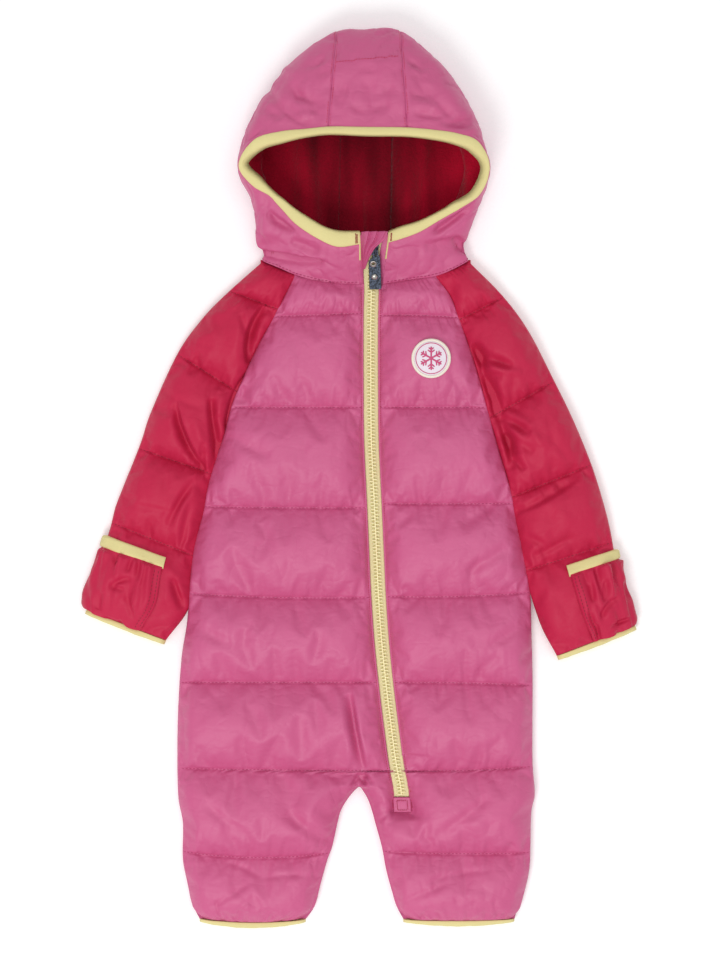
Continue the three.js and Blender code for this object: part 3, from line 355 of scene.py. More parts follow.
class Wardrobe:
    """Every finish of the suit, made once."""

    def __init__(self) -> None:
        """Builds the materials."""
        self.pink = Cloth("pink_nylon", "ca5a88", Weave.TAFFETA, 0.42, 0.0, 0.42, 0.85).material()
        self.red = Cloth("red_nylon", "c1264a", Weave.TAFFETA, 0.42, 0.0, 0.16, 0.6).material()
        self.fleece = Cloth("crimson_fleece", "9a0824", Weave.FLEECE, 0.95, 0.15, 0.05).material()
        self.binding = Cloth("yellow_binding", "e2d698", Weave.RIB, 0.75, 0.0, 0.2).material()
        self.tape = Cloth("zip_tape_cloth", "f1e8b2", Weave.TAPE, 0.8, 0.0, 0.2).material()
        self.pink_thread = Cloth("pink_thread", "b03368", Weave.RIB, 0.6).material()
        self.red_thread = Cloth("red_thread", "8f1030", Weave.RIB, 0.6).material()
        self.facing_thread = Cloth("facing_thread", "b8244e", Weave.RIB, 0.6).material()
        self.seam_thread = Cloth("seam_thread", "c4254f", Weave.RIB, 0.6).material()
        self.bar_thread = Cloth("bar_thread", "a01530", Weave.RIB, 0.6).material()
        self.badge_cream = Cloth("badge_cream", "f3ebdb", Weave.RIB, 0.6).material()
        self.badge_white = Cloth("badge_white", "ebe0ea", Weave.RIB, 0.6).material()
        self.badge_pink = Cloth("badge_pink", "cf4f7e", Weave.RIB, 0.6).material()
        self.teeth = Hard("zip_teeth", "f6edb8", 0.35, 0.0, 0.05, 0.0001).material()
        self.steel = Hard("painted_slider", "434b59", 0.35, 0.7, 0.3).material()
        self.pull = Hard("speckled_pull", "3b4350", 0.38, 0.5, 0.9).material()
        self.silver = Hard("silver_stud", "aca8a2", 0.3, 1.0, 0.3, 0.0002).material()


# Curves and tables


class Curve:
    """A smooth curve through a table: value as a function of a key that falls from row to row."""

    def __init__(self, rows: list[tuple[float, float]]) -> None:
        """Works out the slopes.

        Args:
            rows: Keys and values.
        """
        self.keys = np.array([row[0] for row in rows], dtype=float)
        self.values = np.array([row[1] for row in rows], dtype=float)
        last = len(rows) - 1
        before = np.maximum(np.arange(last + 1) - 1, 0)
        after = np.minimum(np.arange(last + 1) + 1, last)
        self.slopes = (self.values[after] - self.values[before]) / (self.keys[after] - self.keys[before])

    def __call__(self, at: "float | Grid") -> Grid:
        """Returns the value at a key.

        Args:
            at: One key or many.
        """
        q = np.clip(at, self.keys[-1], self.keys[0])
        i = np.clip(np.searchsorted(-self.keys, -q, side="right") - 1, 0, len(self.keys) - 2)
        h = self.keys[i + 1] - self.keys[i]
        t = (q - self.keys[i]) / h
        near = (2 * t**3 - 3 * t**2 + 1) * self.values[i] + (t**3 - 2 * t**2 + t) * h * self.slopes[i]
        far = (3 * t**2 - 2 * t**3) * self.values[i + 1] + (t**3 - t**2) * h * self.slopes[i + 1]
        return near + far


def quarter(q: "float | Grid") -> Grid:
    """Rises from 0 to 1 as a quarter of a circle."""
    return np.sqrt(1 - (1 - np.clip(q, 0, 1)) ** 2)


def swell(t: "float | Grid", power: float = 0.6) -> Grid:
    """Returns the swell of padding between two lines of stitching."""
    return np.sin(np.pi * np.clip(t, 0, 1)) ** power


def lerp(a: "float | Grid", b: "float | Grid", t: "float | Grid") -> Grid:
    """Returns a value between two."""
    return a + (b - a) * t


def spaced(count: int, ends: float = 0.5) -> Grid:
    """Returns places from 0 to 1 that are closer together at both ends."""
    even = np.linspace(0, 1, count + 1)
    return lerp(even, (1 - np.cos(np.pi * even)) / 2, ends)


def wander(x: float, y: float, seed: float, size: float) -> float:
    """Returns smooth noise from about -1 to 1."""
    return noise.noise(Vector((x / size, y / size, seed)))


def wander_grid(grid: Grid, seed: float, size: float) -> Grid:
    """Returns smooth noise at each place of a grid.

    Args:
        grid: Places.
        seed: Which noise.
        size: Its wavelength.
    """
    flat = grid.reshape(-1, 3) / size
    values = [noise.noise(Vector((p[0], p[1], p[2] + seed))) for p in flat]
    return np.array(values).reshape(grid.shape[:2])


def centripetal(points: Grid, t: Grid) -> Grid:
    """Returns places on centripetal Catmull-Rom curves.

    Args:
        points: The places that each curve passes through, in the last axis but one.
        t: How far along, from 0 at the first to 1 at the last.
    """
    last = points.shape[-2] - 1
    p = last * np.clip(t, 0, 1)
    i = np.minimum(p.astype(int), last - 1)
    w = (p - i)[:, None]
    first, final = (
        2 * points[..., :1, :] - points[..., 1:2, :], 2 * points[..., -1:, :] - points[..., -2:-1, :]
    )
    padded = np.concatenate([first, points, final], axis=-2)
    a, b, c, d = (padded[..., i + k, :] for k in range(4))
    d0, d1, d2 = (
        np.sqrt(np.linalg.norm(e - f, axis=-1, keepdims=True)) for e, f in ((a, b), (b, c), (c, d))
    )
    d1 = np.maximum(d1, 1e-4)
    d0 = np.where(d0 < 1e-4, d1, d0)
    d2 = np.where(d2 < 1e-4, d1, d2)
    t1 = ((b - a) / d0 - (c - a) / (d0 + d1) + (c - b) / d1) * d1
    t2 = ((c - b) / d1 - (d - b) / (d1 + d2) + (d - c) / d2) * d1
    return b + t1 * w + (-3 * b + 3 * c - 2 * t1 - t2) * w**2 + (2 * b - 2 * c + t1 + t2) * w**3


def refined(grid: Grid, times: int = 2) -> Grid:
    """Returns a grid with places added smoothly between its own.

    Args:
        grid: The grid.
        times: How many steps take the place of one.
    """
    rows, columns = grid.shape[:2]
    down = centripetal(
        grid.transpose(1, 0, 2), np.linspace(0, 1, (rows - 1) * times + 1)
    ).transpose(1, 0, 2)
    return centripetal(down, np.linspace(0, 1, (columns - 1) * times + 1))


def softened(grid: Grid, passes: int) -> Grid:
    """Returns a grid whose heights are averaged with their neighbours'.

    Args:
        grid: The grid.
        passes: How often.
    """
    made = grid.copy()
    for _ in range(passes):
        z = np.pad(made[:, :, 2], 1, mode="edge")
        made[:, :, 2] = (z[:-2, 1:-1] + z[2:, 1:-1] + z[1:-1, :-2] + z[1:-1, 2:] + 4 * z[1:-1, 1:-1]) / 8
    return made


def run_of(path: Grid) -> float:
    """Returns the length of a path through places."""
    return float(np.linalg.norm(np.diff(path, axis=0), axis=1).sum())


def arc_of(path: Grid) -> Grid:
    """Returns how far along a path each of its places lies."""
    return np.append(0, np.cumsum(np.linalg.norm(np.diff(path, axis=0), axis=1)))


def row_at(x: Grid, y: float, z: "float | Grid") -> Grid:
    """Returns a row of places at one height along the suit."""
    return np.stack([x, np.full_like(x, y), np.broadcast_to(z, x.shape)], axis=-1)


@dataclass(frozen=True)
class Crease:
    """A fold along a line in plan: the width of its valley, its depth and how sharp one side is."""

    x1: float
    y1: float
    x2: float
    y2: float
    width: float
    depth: float
    bow: float = 0.0
    bias: float = 0.0

    def lower(self, x: Grid, y: Grid) -> Grid:
        """Returns how far the fold lowers places in plan.

        Args:
            x: Places in plan.
            y: Places in plan.
        """
        dx, dy = self.x2 - self.x1, self.y2 - self.y1
        length = math.hypot(dx, dy)
        along = ((x - self.x1) * dx + (y - self.y1) * dy) / length**2
        across = ((x - self.x1) * dy - (y - self.y1) * dx) / length
        inside = np.clip(along, 0, 1)
        across = across - self.bow * 4 * inside * (1 - inside)
        ends = np.maximum(0, np.maximum(along - 1, -along)) * length
        fade = np.sqrt(np.sin(np.pi * inside).clip(0.02, 1))
        half = self.width / 2
        wide = np.where(across > 0, half * (1 + self.bias), half * (1 - self.bias))
        return self.depth * fade * np.exp(-(across**2 + ends**2) / (2 * wide**2))


def crease_table(rows: list[tuple[float, ...]]) -> list[Crease]:
    """Returns the creases of a table whose columns are a crease's own sizes in order."""
    return [Crease(*row) for row in rows]


def creased(creases: list[Crease], x: Grid, y: Grid) -> Grid:
    """Returns how far a list of creases lowers places in plan.

    Args:
        creases: The creases.
        x: Places in plan.
        y: Places in plan.
    """
    total = np.zeros_like(x)
    for crease in creases:
        total += crease.lower(x, y)
    return total


def fans(
    dice: random.Random, path: Grid, away: Grid, count: int, reach: tuple[float, float], depth: float,
) -> list[Crease]:
    """Returns the crisp little creases that fan out from a line of stitching.

    Args:
        dice: Where the scatter comes from.
        path: Places along the line.
        away: The way across it, in plan.
        count: How many creases.
        reach: Their shortest and longest length.
        depth: The deepest.
    """
    made = []
    for _ in range(count):
        spot = path[dice.randrange(2, len(path) - 2)]
        angle = math.atan2(away[1], away[0]) + dice.gauss(0, 0.45)
        if dice.random() < 0.5:
            angle += math.pi
        long = dice.uniform(*reach)
        end = (spot[0] + long * math.cos(angle), spot[1] + long * math.sin(angle))
        wide = dice.uniform(2.2, 4.6)
        made.append(Crease(
            spot[0], spot[1], end[0], end[1], wide, dice.uniform(0.35, 1) * depth * dice.choice(
                [1, 1, -0.7]
            ),
            dice.uniform(-2, 2), dice.uniform(-0.4, 0.4),
        ))
    return made


# Meshes


class Plan:
    """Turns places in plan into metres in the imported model's frame."""

    badge = (66.0, 108.5)

    def __init__(self) -> None:
        """Finds the frame's shift from the badge's rim, which is centred on the badge."""
        low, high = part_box("badge_rim")
        self.shift = np.array([(low[i] + high[i]) / 2 / MM - self.badge[i] for i in (0, 1)] + [0.0])

    def place(self, points: Grid) -> Grid:
        """Returns places in metres."""
        return (np.asarray(points, dtype=float) + self.shift) * MM

    def piece(
        self, name: str, points: Grid, faces: list[tuple[int, ...]], material: bpy.types.Material,
        body: str = GARMENT, smooth: bool = True,
    ) -> bpy.types.Object:
        """Makes one mesh piece that rides on a body.

        Args:
            name: The piece's name.
            points: Places in millimetres.
            faces: Corner numbers of each face.
            material: Its finish.
            body: The body it moves with.
            smooth: Whether its faces are shaded smooth.

        Returns:
            The new object.
        """
        mesh = bpy.data.meshes.new(name)
        placed = self.place(points)
        placed[:, 2] = np.maximum(placed[:, 2], 0)
        mesh.from_pydata(placed.tolist(), [], faces)
        mesh.polygons.foreach_set("use_smooth", [smooth] * len(mesh.polygons))
        mesh.materials.append(material)
        mesh.update()
        made = bpy.data.objects.new(name, mesh)
        bpy.context.scene.collection.objects.link(made)
        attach(made, body)
        LOG.info("made %s with %d faces", name, len(faces))
        return made


def strip(faces: list[tuple[int, ...]], a: list[int], b: list[int], sa: Grid, sb: Grid) -> None:
    """Joins two rows of vertices that may differ in number.

    Args:
        faces: Where the faces are added.
        a: Vertex numbers of one row.
        b: Vertex numbers of the next.
        sa: How far along its row each vertex of a lies.
        sb: How far along its row each vertex of b lies.
    """
    if len(a) == len(b):
        faces.extend((a[k], a[k + 1], b[k + 1], b[k]) for k in range(len(a) - 1))
        return
    i = j = 0
    while i < len(a) - 1 or j < len(b) - 1:
        if j == len(b) - 1 or (i < len(a) - 1 and sa[i + 1] <= sb[j + 1] + 1e-9):
            faces.append((a[i], a[i + 1], b[j]))
            i += 1
        else:
            faces.append((a[i], b[j + 1], b[j]))
            j += 1


def shell(
    outer: Grid, inner: Grid, keep: list[int] | None = None, closed: bool = False
) -> tuple[Grid, list]:
    """Makes a closed skin from a grid on its outer face and one of the same size on its inner face.

    Args:
        outer: The outer face.
        inner: The inner face.
        keep: Columns of the inner face that stay in its middle rows, if it is to be plainer.
        closed: Whether each row is a ring.

    Returns:
        The places and the faces.
    """
    rows, columns = outer.shape[:2]
    points: list = []

    def number(row: Grid, chosen: Grid) -> list[int]:
        """Adds a row's chosen places and returns their numbers.

        Args:
            row: A row of places.
            chosen: Which of them.
        """
        start = len(points)
        points.extend(row[chosen].tolist())
        return list(range(start, start + len(chosen)))

    all_columns = np.arange(columns)
    few = all_columns if keep is None else np.array(sorted({0, columns - 1, *keep}))
    ends = (0, rows - 1)
    out_rows = [(number(outer[r], all_columns), all_columns) for r in range(rows)]
    in_rows = [(number(inner[r], c), c) for r in range(rows) for c in [all_columns if r in ends else few]]
    faces: list = []
    wrap = (lambda ids: [*ids, ids[0]]) if closed else (lambda ids: ids)
    along = (lambda c: np.append(c, columns)) if closed else (lambda c: c)
    for r in range(rows - 1):
        (a, ca), (b, cb) = out_rows[r], out_rows[r + 1]
        strip(faces, wrap(a), wrap(b), along(ca), along(cb))
        (a, ca), (b, cb) = in_rows[r + 1], in_rows[r]
        strip(faces, wrap(a), wrap(b), along(ca), along(cb))
    strip(faces, wrap(in_rows[0][0]), wrap(out_rows[0][0]), along(all_columns), along(all_columns))
    strip(faces, wrap(out_rows[-1][0]), wrap(in_rows[-1][0]), along(all_columns), along(all_columns))
    if not closed:
        for r in range(rows - 1):
            a, b, c, d = out_rows[r][0][0], out_rows[r + 1][0][0], in_rows[r + 1][0][0], in_rows[r][0][0]
            faces.append((a, b, c, d))
            a, b, c, d = out_rows[r][0][-1], out_rows[r + 1][0][-1], in_rows[r + 1][0][-1], in_rows[r][0][-1]
            faces.append((a, d, c, b))
    places = np.array(points)
    if signed_volume(places, faces) < 0:
        faces = [face[::-1] for face in faces]
    return places, faces


def signed_volume(points: Grid, faces: list) -> float:
    """Returns the volume inside a skin, below 0 if it is inside out.

    Args:
        points: Its places.
        faces: Its faces.
    """
    triangles = [(f[0], f[i], f[i + 1]) for f in faces for i in range(1, len(f) - 1)]
    a, b, c = (points[[t[k] for t in triangles]] for k in range(3))
    return float(np.einsum("ij,ij->i", a, np.cross(b, c)).sum() / 6)


def facing(grid: Grid, turn: float = 1.0) -> Grid:
    """Returns the directions that a grid of places faces.

    Args:
        grid: The places.
        turn: -1 where its rows and columns turn the other way.
    """
    across = np.gradient(grid, axis=1)
    down = np.gradient(grid, axis=0)
    out = np.cross(across, down)
    length = np.linalg.norm(out, axis=2, keepdims=True)
    return turn * out / np.maximum(length, 1e-9)


# Slack cloth


@dataclass
class Slack:
    """Cloth that is a little larger than the shape it is sewn to, settled by a short simulation."""

    growth: float
    pressure: float
    bending: float
    cap: float
    frames: int = 16
    scale: float = 0.01
    sideways: float = 0.35
    waiting: list = field(default_factory=list)

    def hang(self, grid: Grid, pinned: Grid, growth: float | None = None) -> int:
        """Adds one panel to the simulation."""
        self.waiting.append((grid, pinned, growth or self.growth))
        return len(self.waiting) - 1

    def panel(self, grid: Grid, pinned: Grid, growth: float) -> bpy.types.Object:
        """Builds one panel with its cloth settings.

        Args:
            grid: The panel's places, facing up.
            pinned: Which of them are held by stitching.
            growth: How much larger the cloth is.

        Returns:
            The panel.
        """
        rows, columns = grid.shape[:2]
        ids = np.arange(rows * columns).reshape(rows, columns)
        quads = np.stack([ids[:-1, :-1], ids[:-1, 1:], ids[1:, 1:], ids[1:, :-1]], axis=-1).reshape(-1, 4)
        if facing(grid)[:, :, 2].mean() < 0:
            quads = quads[:, ::-1]
        mesh = bpy.data.meshes.new("slack")
        mesh.from_pydata((grid.reshape(-1, 3) * self.scale).tolist(), [], quads.tolist())
        panel = bpy.data.objects.new("slack", mesh)
        bpy.context.scene.collection.objects.link(panel)
        group = panel.vertex_groups.new(name="held")
        group.add(np.flatnonzero(pinned.reshape(-1)).tolist(), 1.0, "REPLACE")
        cloth = panel.modifiers.new("slack", "CLOTH")
        settings = cloth.settings
        settings.quality = 4
        settings.mass = 0.2
        settings.tension_stiffness = 25
        settings.compression_stiffness = 25
        settings.shear_stiffness = 12
        settings.bending_stiffness = self.bending
        settings.bending_damping = 1.0
        settings.air_damping = 2.0
        settings.vertex_group_mass = "held"
        settings.shrink_min = -growth
        settings.use_pressure = True
        settings.uniform_pressure_force = self.pressure
        settings.effector_weights.gravity = 0
        cloth.collision_settings.use_collision = False
        cloth.point_cache.frame_end = self.frames + 5
        return panel

    def settle(self) -> list[Grid]:
        """Returns:
            Each panel's places, none moved further than the cap.
        """
        scene = bpy.context.scene
        panels = [self.panel(*given) for given in self.waiting]
        for step in range(1, self.frames + 1):
            scene.frame_set(step)
        graph = bpy.context.evaluated_depsgraph_get()
        settled = []
        for panel, (grid, _, _) in zip(panels, self.waiting):
            shown = panel.evaluated_get(graph)
            places = np.empty(len(shown.data.vertices) * 3)
            shown.data.vertices.foreach_get("co", places)
            moved = places.reshape(grid.shape) / self.scale - grid
            moved[:, :, :2] *= self.sideways
            far = np.linalg.norm(moved, axis=2, keepdims=True)
            LOG.info("slack moved %.1f mm at most, %.2f mm on average", far.max(), far.mean())
            settled.append(grid + moved * np.minimum(1, self.cap / np.maximum(far, 1e-6)))
        for panel in panels:
            mesh = panel.data
            bpy.data.objects.remove(panel)
            bpy.data.meshes.remove(mesh)
        scene.frame_set(1)
        return settled


# The quilted body


class Outline:
    """The suit's outlines in plan: side edges, zip and inner legs."""

    hip = -262.4
    crotch = -277.3
    shift_top = -248.0
    zip_half = 6.7

    side = {
        Side.RIGHT: Curve([
            (183, -57), (165, -66), (144, -77), (122, -89), (90, -104), (68, -113), (40, -120.5), (14, -129),
            (-8, -135), (-29, -139), (-62, -147), (-94, -151), (-127, -153), (-159, -158), (-202, -161),
            (-245, -162), (-288, -161), (-310, -157), (-343, -157), (-364, -153), (-386, -148), (-400, -141),
        ]),
        Side.LEFT: Curve([
            (183, 71), (165, 84), (144, 92), (122, 100), (90, 110), (57, 119), (25, 128), (-9, 138),
            (-40, 143), (-72, 149), (-105, 154), (-137, 155), (-180, 156), (-256, 156), (-285, 158),
            (-299, 155), (-332, 154), (-353, 153), (-375, 148), (-400, 141),
        ]),
    }
    zip = Curve([
        (216, 13), (176, 12.6), (144, 12), (90, 12), (36, 12.5), (-18, 15), (-62, 17), (-105, 19),
        (-148, 22), (-191, 26.5), (-235, 32), (-257, 35), (-278, 39), (-301, 41),
    ])
    inseam = {
        Side.RIGHT: Curve([
            (-277.3, 0.5), (-288, -8.5), (-299, -15), (-310, -18), (-332, -23), (-343, -27), (-364, -33),
            (-386, -39), (-400, -49),
        ]),
        Side.LEFT: Curve([
            (-277.3, 2.5), (-288, 9), (-299, 13), (-310, 16), (-332, 22), (-353, 26), (-375, 32),
            (-386, 35.5), (-400, 43),
        ]),
    }
    underarm = {Side.RIGHT: 40.0, Side.LEFT: -9.0}

    @classmethod
    def inner(cls, side: Side, y: Grid) -> Grid:
        """Returns the edge of a front beside the zip and down the inner leg.

        Args:
            side: Which front.
            y: Heights along the suit.
        """
        zip_edge = cls.zip(y)
        if side is Side.RIGHT:
            edge = zip_edge - cls.zip_half
            hip = float(cls.zip(cls.hip)) - cls.zip_half
        else:
            hip = float(cls.zip(cls.hip)) - cls.zip_half + 1.2
            start = float(cls.zip(cls.shift_top)) + cls.zip_half
            across = np.clip((cls.shift_top - y) / (cls.shift_top - cls.hip), 0, 1)
            edge = np.where(y >= cls.shift_top, zip_edge + cls.zip_half, lerp(start, hip, across))
        below = np.clip((cls.hip - y) / 1.8, 0, 1)
        corner = float(cls.inseam[side](cls.crotch)) + (1.0 if side is Side.RIGHT else -2.4)
        edge = np.where(y >= cls.hip, edge, lerp(hip, corner, below))
        return np.where(y > cls.crotch, edge, cls.inseam[side](y))

    @classmethod
    def back_side(cls, side: Side, y: Grid, neck: float) -> Grid:
        """Returns the outer edge of a back.

        Args:
            side: Which back.
            y: Heights along the suit.
            neck: The height of the back's neck edge.
        """
        raglan = {Side.RIGHT: -52.0, Side.LEFT: 65.0}[side]
        low = cls.underarm[side]
        t = np.clip((neck - y) / (neck - low), 0, 1)
        return np.where(y > low, lerp(raglan, float(cls.side[side](low)), t), cls.side[side](y))


@dataclass
class Body:
    """The two quilted fronts and the two backs."""

    plan: Plan
    finishes: Wardrobe
    slack: Slack
    puff: float = 13.5
    puff_round: float = 30.0
    side_round: float = 17.0
    stitch_top: float = 14.5
    seam_top: float = 10.8
    front_bottom: float = 10.0
    back_top: float = 9.7
    under_round: float = 10.0
    facing_width: float = 2.4
    hem_round: float = 6.5
    neck: float = 197.9
    step: float = 2.4
    columns: int = 54
    corner_top: float = -385.0
    corner_tall: float = 12.0
    slit_half: float = 6.6
    slit_top: float = -249.0
    slit_bottom: float = -300.4
    grids: dict = field(default_factory=dict)
    lines_at: dict = field(default_factory=dict)
    numbers: dict = field(default_factory=dict)

    fuller = {Side.RIGHT: -0.8, Side.LEFT: 2.2}
    lines = {
        # heights at the inner edge, in the middle and at the side, and the share of the puff below
        Side.RIGHT: [
            (177.2, 178.7, 184.2, 0.62), (150, 148.5, 147, 0.9), (65, 65, 65, 1), (-25.5, -25.5, -24.5, 1),
            (-106.5, -106.5, -103, 1), (-183, -183, -183, 1), (-262.4, -262, -260.5, 1),
            (-337, -341, -335.5, 0.8), (-397, -399.5, -396.5, 0),
        ],
        Side.LEFT: [
            (176.7, 180.2, 184.2, 0.62), (148, 148, 146, 0.9), (65, 65, 65, 1), (-22, -22, -21.5, 1),
            (-105.5, -105.5, -102, 1), (-183, -183.5, -186, 1), (-262.4, -262.4, -259, 1),
            (-335.5, -337.5, -336.5, 0.8), (-397, -398, -396.5, 0),
        ],
    }
    folds = crease_table([
        # x1, y1, x2, y2, width, depth, bow, bias
        (-7, -192, 6, -262, 6, 13, 1, 0.4), (-14, -200, -2, -258, 8, -2, 1),
        (28, -299, 45, -302.5, 2.6, 3), (44, -302, 56, -304, 2.6, 2.5), (20, -308, 29, -299, 2.6, 2.5),
        (2, -268, 8, -275, 3, 8), (-6, -276, 3, -266, 2.4, 4), (4, -264, 14, -274, 2.4, 4),
        (-4, -267, 12, -268, 2.2, 3), (-66, -300, -20, -330, 8, 4), (-140, -290, -95, -322, 8, 4),
        (60, -300, 20, -296, 7, 4), (120, -285, 70, -322, 8, 4), (-118, 40, -78, 20, 8, 4),
        (-112, 70, -82, 100, 8, 4), (128, -20, 92, -42, 8, 4), (136, -60, 98, -84, 8, 4),
        (-119, -345, -86, -359, 4, 2, -2), (-86, -359, -41, -357, 4, 1.6, -2),
        (-133, -385, -94, -361, 4, 1.6), (40, -380, 92, -358, 4.5, 1.8),
        (120, -352, 60, -364, 4, 1.6, 3), (105, 60, 84, 96, 8, 3), (-145, -132, -112, -150, 8, 4),
        (150, -130, 118, -150, 8, 4),
    ])

    @staticmethod
    def line_y(line: tuple[float, ...], u: Grid) -> Grid:
        """Returns the height of a line of quilting along its length."""
        bend = line[1] - (line[0] + line[2]) / 2
        return lerp(line[0], line[2], u) + bend * 4 * u * (1 - u)

    def small_creases(self, side: Side) -> list[Crease]:
        """Scatters the soft creases that slack nylon has between its lines of quilting.

        Args:
            side: Which front.

        Returns:
            Creases and ridges.
        """
        dice = random.Random(11 if side is Side.RIGHT else 23)
        made = []
        lines = self.lines[side]
        for band in range(len(lines) - 1):
            high, low = lines[band][1], lines[band + 1][1]
            span = high - low
            for _ in range(int(5 + span / 9)):
                y = dice.uniform(low + 4, high - 4)
                left, right = sorted(
                    (float(Outline.inner(side, np.array(y))), float(Outline.side[side](y)))
                )
                x = dice.uniform(left + 8, right - 8)
                angle = dice.choice([-1, 1]) * dice.uniform(0.15, 1.1)
                reach = dice.uniform(14, 34)
                dx, dy = reach * math.cos(angle), reach * math.sin(angle)
                depth = dice.choice([-1, 1]) * dice.uniform(0.5, 1.4)
                bow = dice.uniform(-4, 4)
                made.append(
                    Crease(x - dx / 2, y - dy / 2, x + dx / 2, y + dy / 2, dice.uniform(5, 10), depth, bow)
                )
        return made

    def puckers(self, x: Grid, seed: float) -> Grid:
        """Returns how strongly the cloth is gathered at places along a line of stitching, from -1 to 1.

        Args:
            x: Places along the line.
            seed: Which line.
        """
        fine = np.array([wander(v, 0, seed, 5.0) for v in x])
        broad = np.array([wander(v, 0, seed + 9, 13.0) for v in x])
        return fine * 0.9 + broad * 0.8

    def front_grid(self, side: Side) -> Grid:
        """Returns a front's outer face, row by row from the neck seam to the hem.

        Args:
            side: Which front.
        """
        us = spaced(self.columns, 0.4)
        lines = self.lines[side]
        rows, marks = [], []
        creases = self.small_creases(side)
        for band in range(len(lines) - 1):
            count = max(6, round((lines[band][1] - lines[band + 1][1]) / self.step))
            steps = spaced(count, 0.35)
            last = band == len(lines) - 2
            marks.append(len(rows))
            top_pucker = self.puckers(us * 130, band + 3.1)
            low_pucker = self.puckers(us * 130, band + 4.1)
            for t in steps if last else steps[:-1]:
                y = lerp(self.line_y(lines[band], us), self.line_y(lines[band + 1], us), t)
                inner_y = lerp(lines[band][0], lines[band + 1][0], t)
                side_y = lerp(lines[band][2], lines[band + 1][2], t)
                inner = float(Outline.inner(side, np.array(inner_y)))
                outer = float(Outline.side[side](side_y))
                if side_y < Outline.underarm[side]:
                    outer += self.fuller[side] * min((Outline.underarm[side] - side_y) / 40, 1)
                x = lerp(inner, outer, us)
                pull = self.hem_round * np.clip((self.corner_top - y) / self.corner_tall, 0, 1) ** 2
                x = x + math.copysign(1, outer - inner) * pull * (1 - 2 * us)
                width = abs(outer - inner)
                from_inner, from_side = us * width, (1 - us) * width
                crown = quarter((from_inner - self.facing_width) / self.puff_round)
                crown = crown * quarter(from_side / self.puff_round)
                if side is Side.LEFT and inner_y < Outline.shift_top:
                    apart = np.maximum(np.abs(x - Outline.zip(y)) - Outline.zip_half, 0)
                    apart = np.hypot(apart, np.maximum(Zip.tab_bottom - 1 - y, 0))
                    crown = crown * quarter((apart - self.facing_width) / 30)
                fold = creased(creases, x, y) * swell(t) * crown * 0.8
                high = (lines[band][1] - lines[band + 1][1])
                near_top = np.exp(-((t * high) / 9.0)) * min(t * high / 2.0, 1.0)
                near_low = np.exp(-(((1 - t) * high) / 9.0)) * min((1 - t) * high / 2.0, 1.0)
                gather = (top_pucker * near_top + low_pucker * near_low) * 1.5 * np.clip(crown * 1.6, 0, 1)
                z = self.stitch_top + self.puff * lines[band][3] * swell(t) * crown - fold + gather
                if side_y < Outline.underarm[side]:
                    start = min((Outline.underarm[side] - side_y) / 20, 1)
                    rounded = self.seam_top + (z - self.seam_top) * quarter(from_side / self.side_round)
                    z = lerp(z, rounded, start)
                if inner_y < Outline.crotch + 0.1:
                    z = self.seam_top + (z - self.seam_top) * quarter((from_inner + 0.01) / self.side_round)
                rows.append(np.stack([x, y, np.maximum(z, self.seam_top)], axis=-1))
        marks.append(len(rows) - 1)
        self.lines_at[side] = marks
        return np.array(rows)

    def hang(self) -> None:
        """Adds both fronts to the simulation."""
        for side in Side:
            grid = self.front_grid(side)
            pinned = np.zeros(grid.shape[:2], dtype=bool)
            pinned[self.lines_at[side]] = True
            pinned[:, :3] = True
            pinned[:, -1] = True
            if side is Side.LEFT:
                x, y = grid[:, :, 0], grid[:, :, 1]
                pinned |= (y < Outline.shift_top) & (y > Zip.tab_bottom - 2) & (
                    np.abs(x - Outline.zip(y)) < 9
                )
            self.grids[side] = grid
            self.numbers[side] = self.slack.hang(grid, pinned)

    def dress(self, settled: list[Grid]) -> None:
        """Makes the fronts and backs.

        Args:
            settled: What the simulation returned.
        """
        for side in Side:
            grid = refined(settled[self.numbers[side]])
            self.lines_at[side] = [2 * mark for mark in self.lines_at[side]]
            self.grids[side] = grid
            self.crease(side, grid)
            self.make_front(side, grid)
            self.make_back(side)

    def crease(self, side: Side, grid: Grid) -> None:
        """Adds the puckers at the stitching and the crisp creases that fan out from it.

        Args:
            side: Which front.
            grid: Its outer face, which is changed.
        """
        dice = random.Random(5 if side is Side.RIGHT else 8)
        creases = list(self.folds)
        for row in self.lines_at[side][1:-1]:
            creases += fans(dice, grid[row], np.array([0.0, 1.0]), 26, (7, 26), 1.0)
        creases += fans(dice, grid[-3], np.array([0.0, 1.0]), 26, (6, 20), 2.4)
        x, y, z = (grid[:, :, k] for k in range(3))
        cover = np.clip((z - self.seam_top + 0.6) / 6, 0, 1)
        lower = creased(creases, x, y) * cover
        for row in self.lines_at[side][1:-1]:
            off = y - y[row][None, :]
            scallop = np.array([wander(v, 0, row * 0.37, 3.6) for v in x[row]])
            above = np.array([wander(v, 0, row * 0.53 + 9, 4.6) for v in x[row]])
            near = np.exp(-np.abs(off) / 3.2) * np.clip(np.abs(off) / 0.8, 0, 1)
            lower += near * np.where(off < 0, scallop[None, :], above[None, :]) * 1.1 * cover
        grid[:, :, 2] = np.maximum(z - lower, self.front_bottom + 0.5)

    def make_front(self, side: Side, grid: Grid) -> None:
        """Makes one front, the left one with the slit that the zip runs off into.

        Args:
            side: Which front.
            grid: Its outer face.
        """
        hidden = grid[:1] + np.array([0.0, 3.6, 0.0])
        hidden[:, :, 2] = self.front_bottom + 1.5
        grid = np.concatenate([hidden, grid])
        under = grid.copy()
        under[:, :, 2] = self.front_bottom
        points, faces = shell(grid, under, [36, 72])
        if side is Side.LEFT:
            points = self.slit(points)
        made = self.plan.piece(f"quilted_front_{side.value}", points, faces, self.finishes.pink)
        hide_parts(f"front_{side.value}")

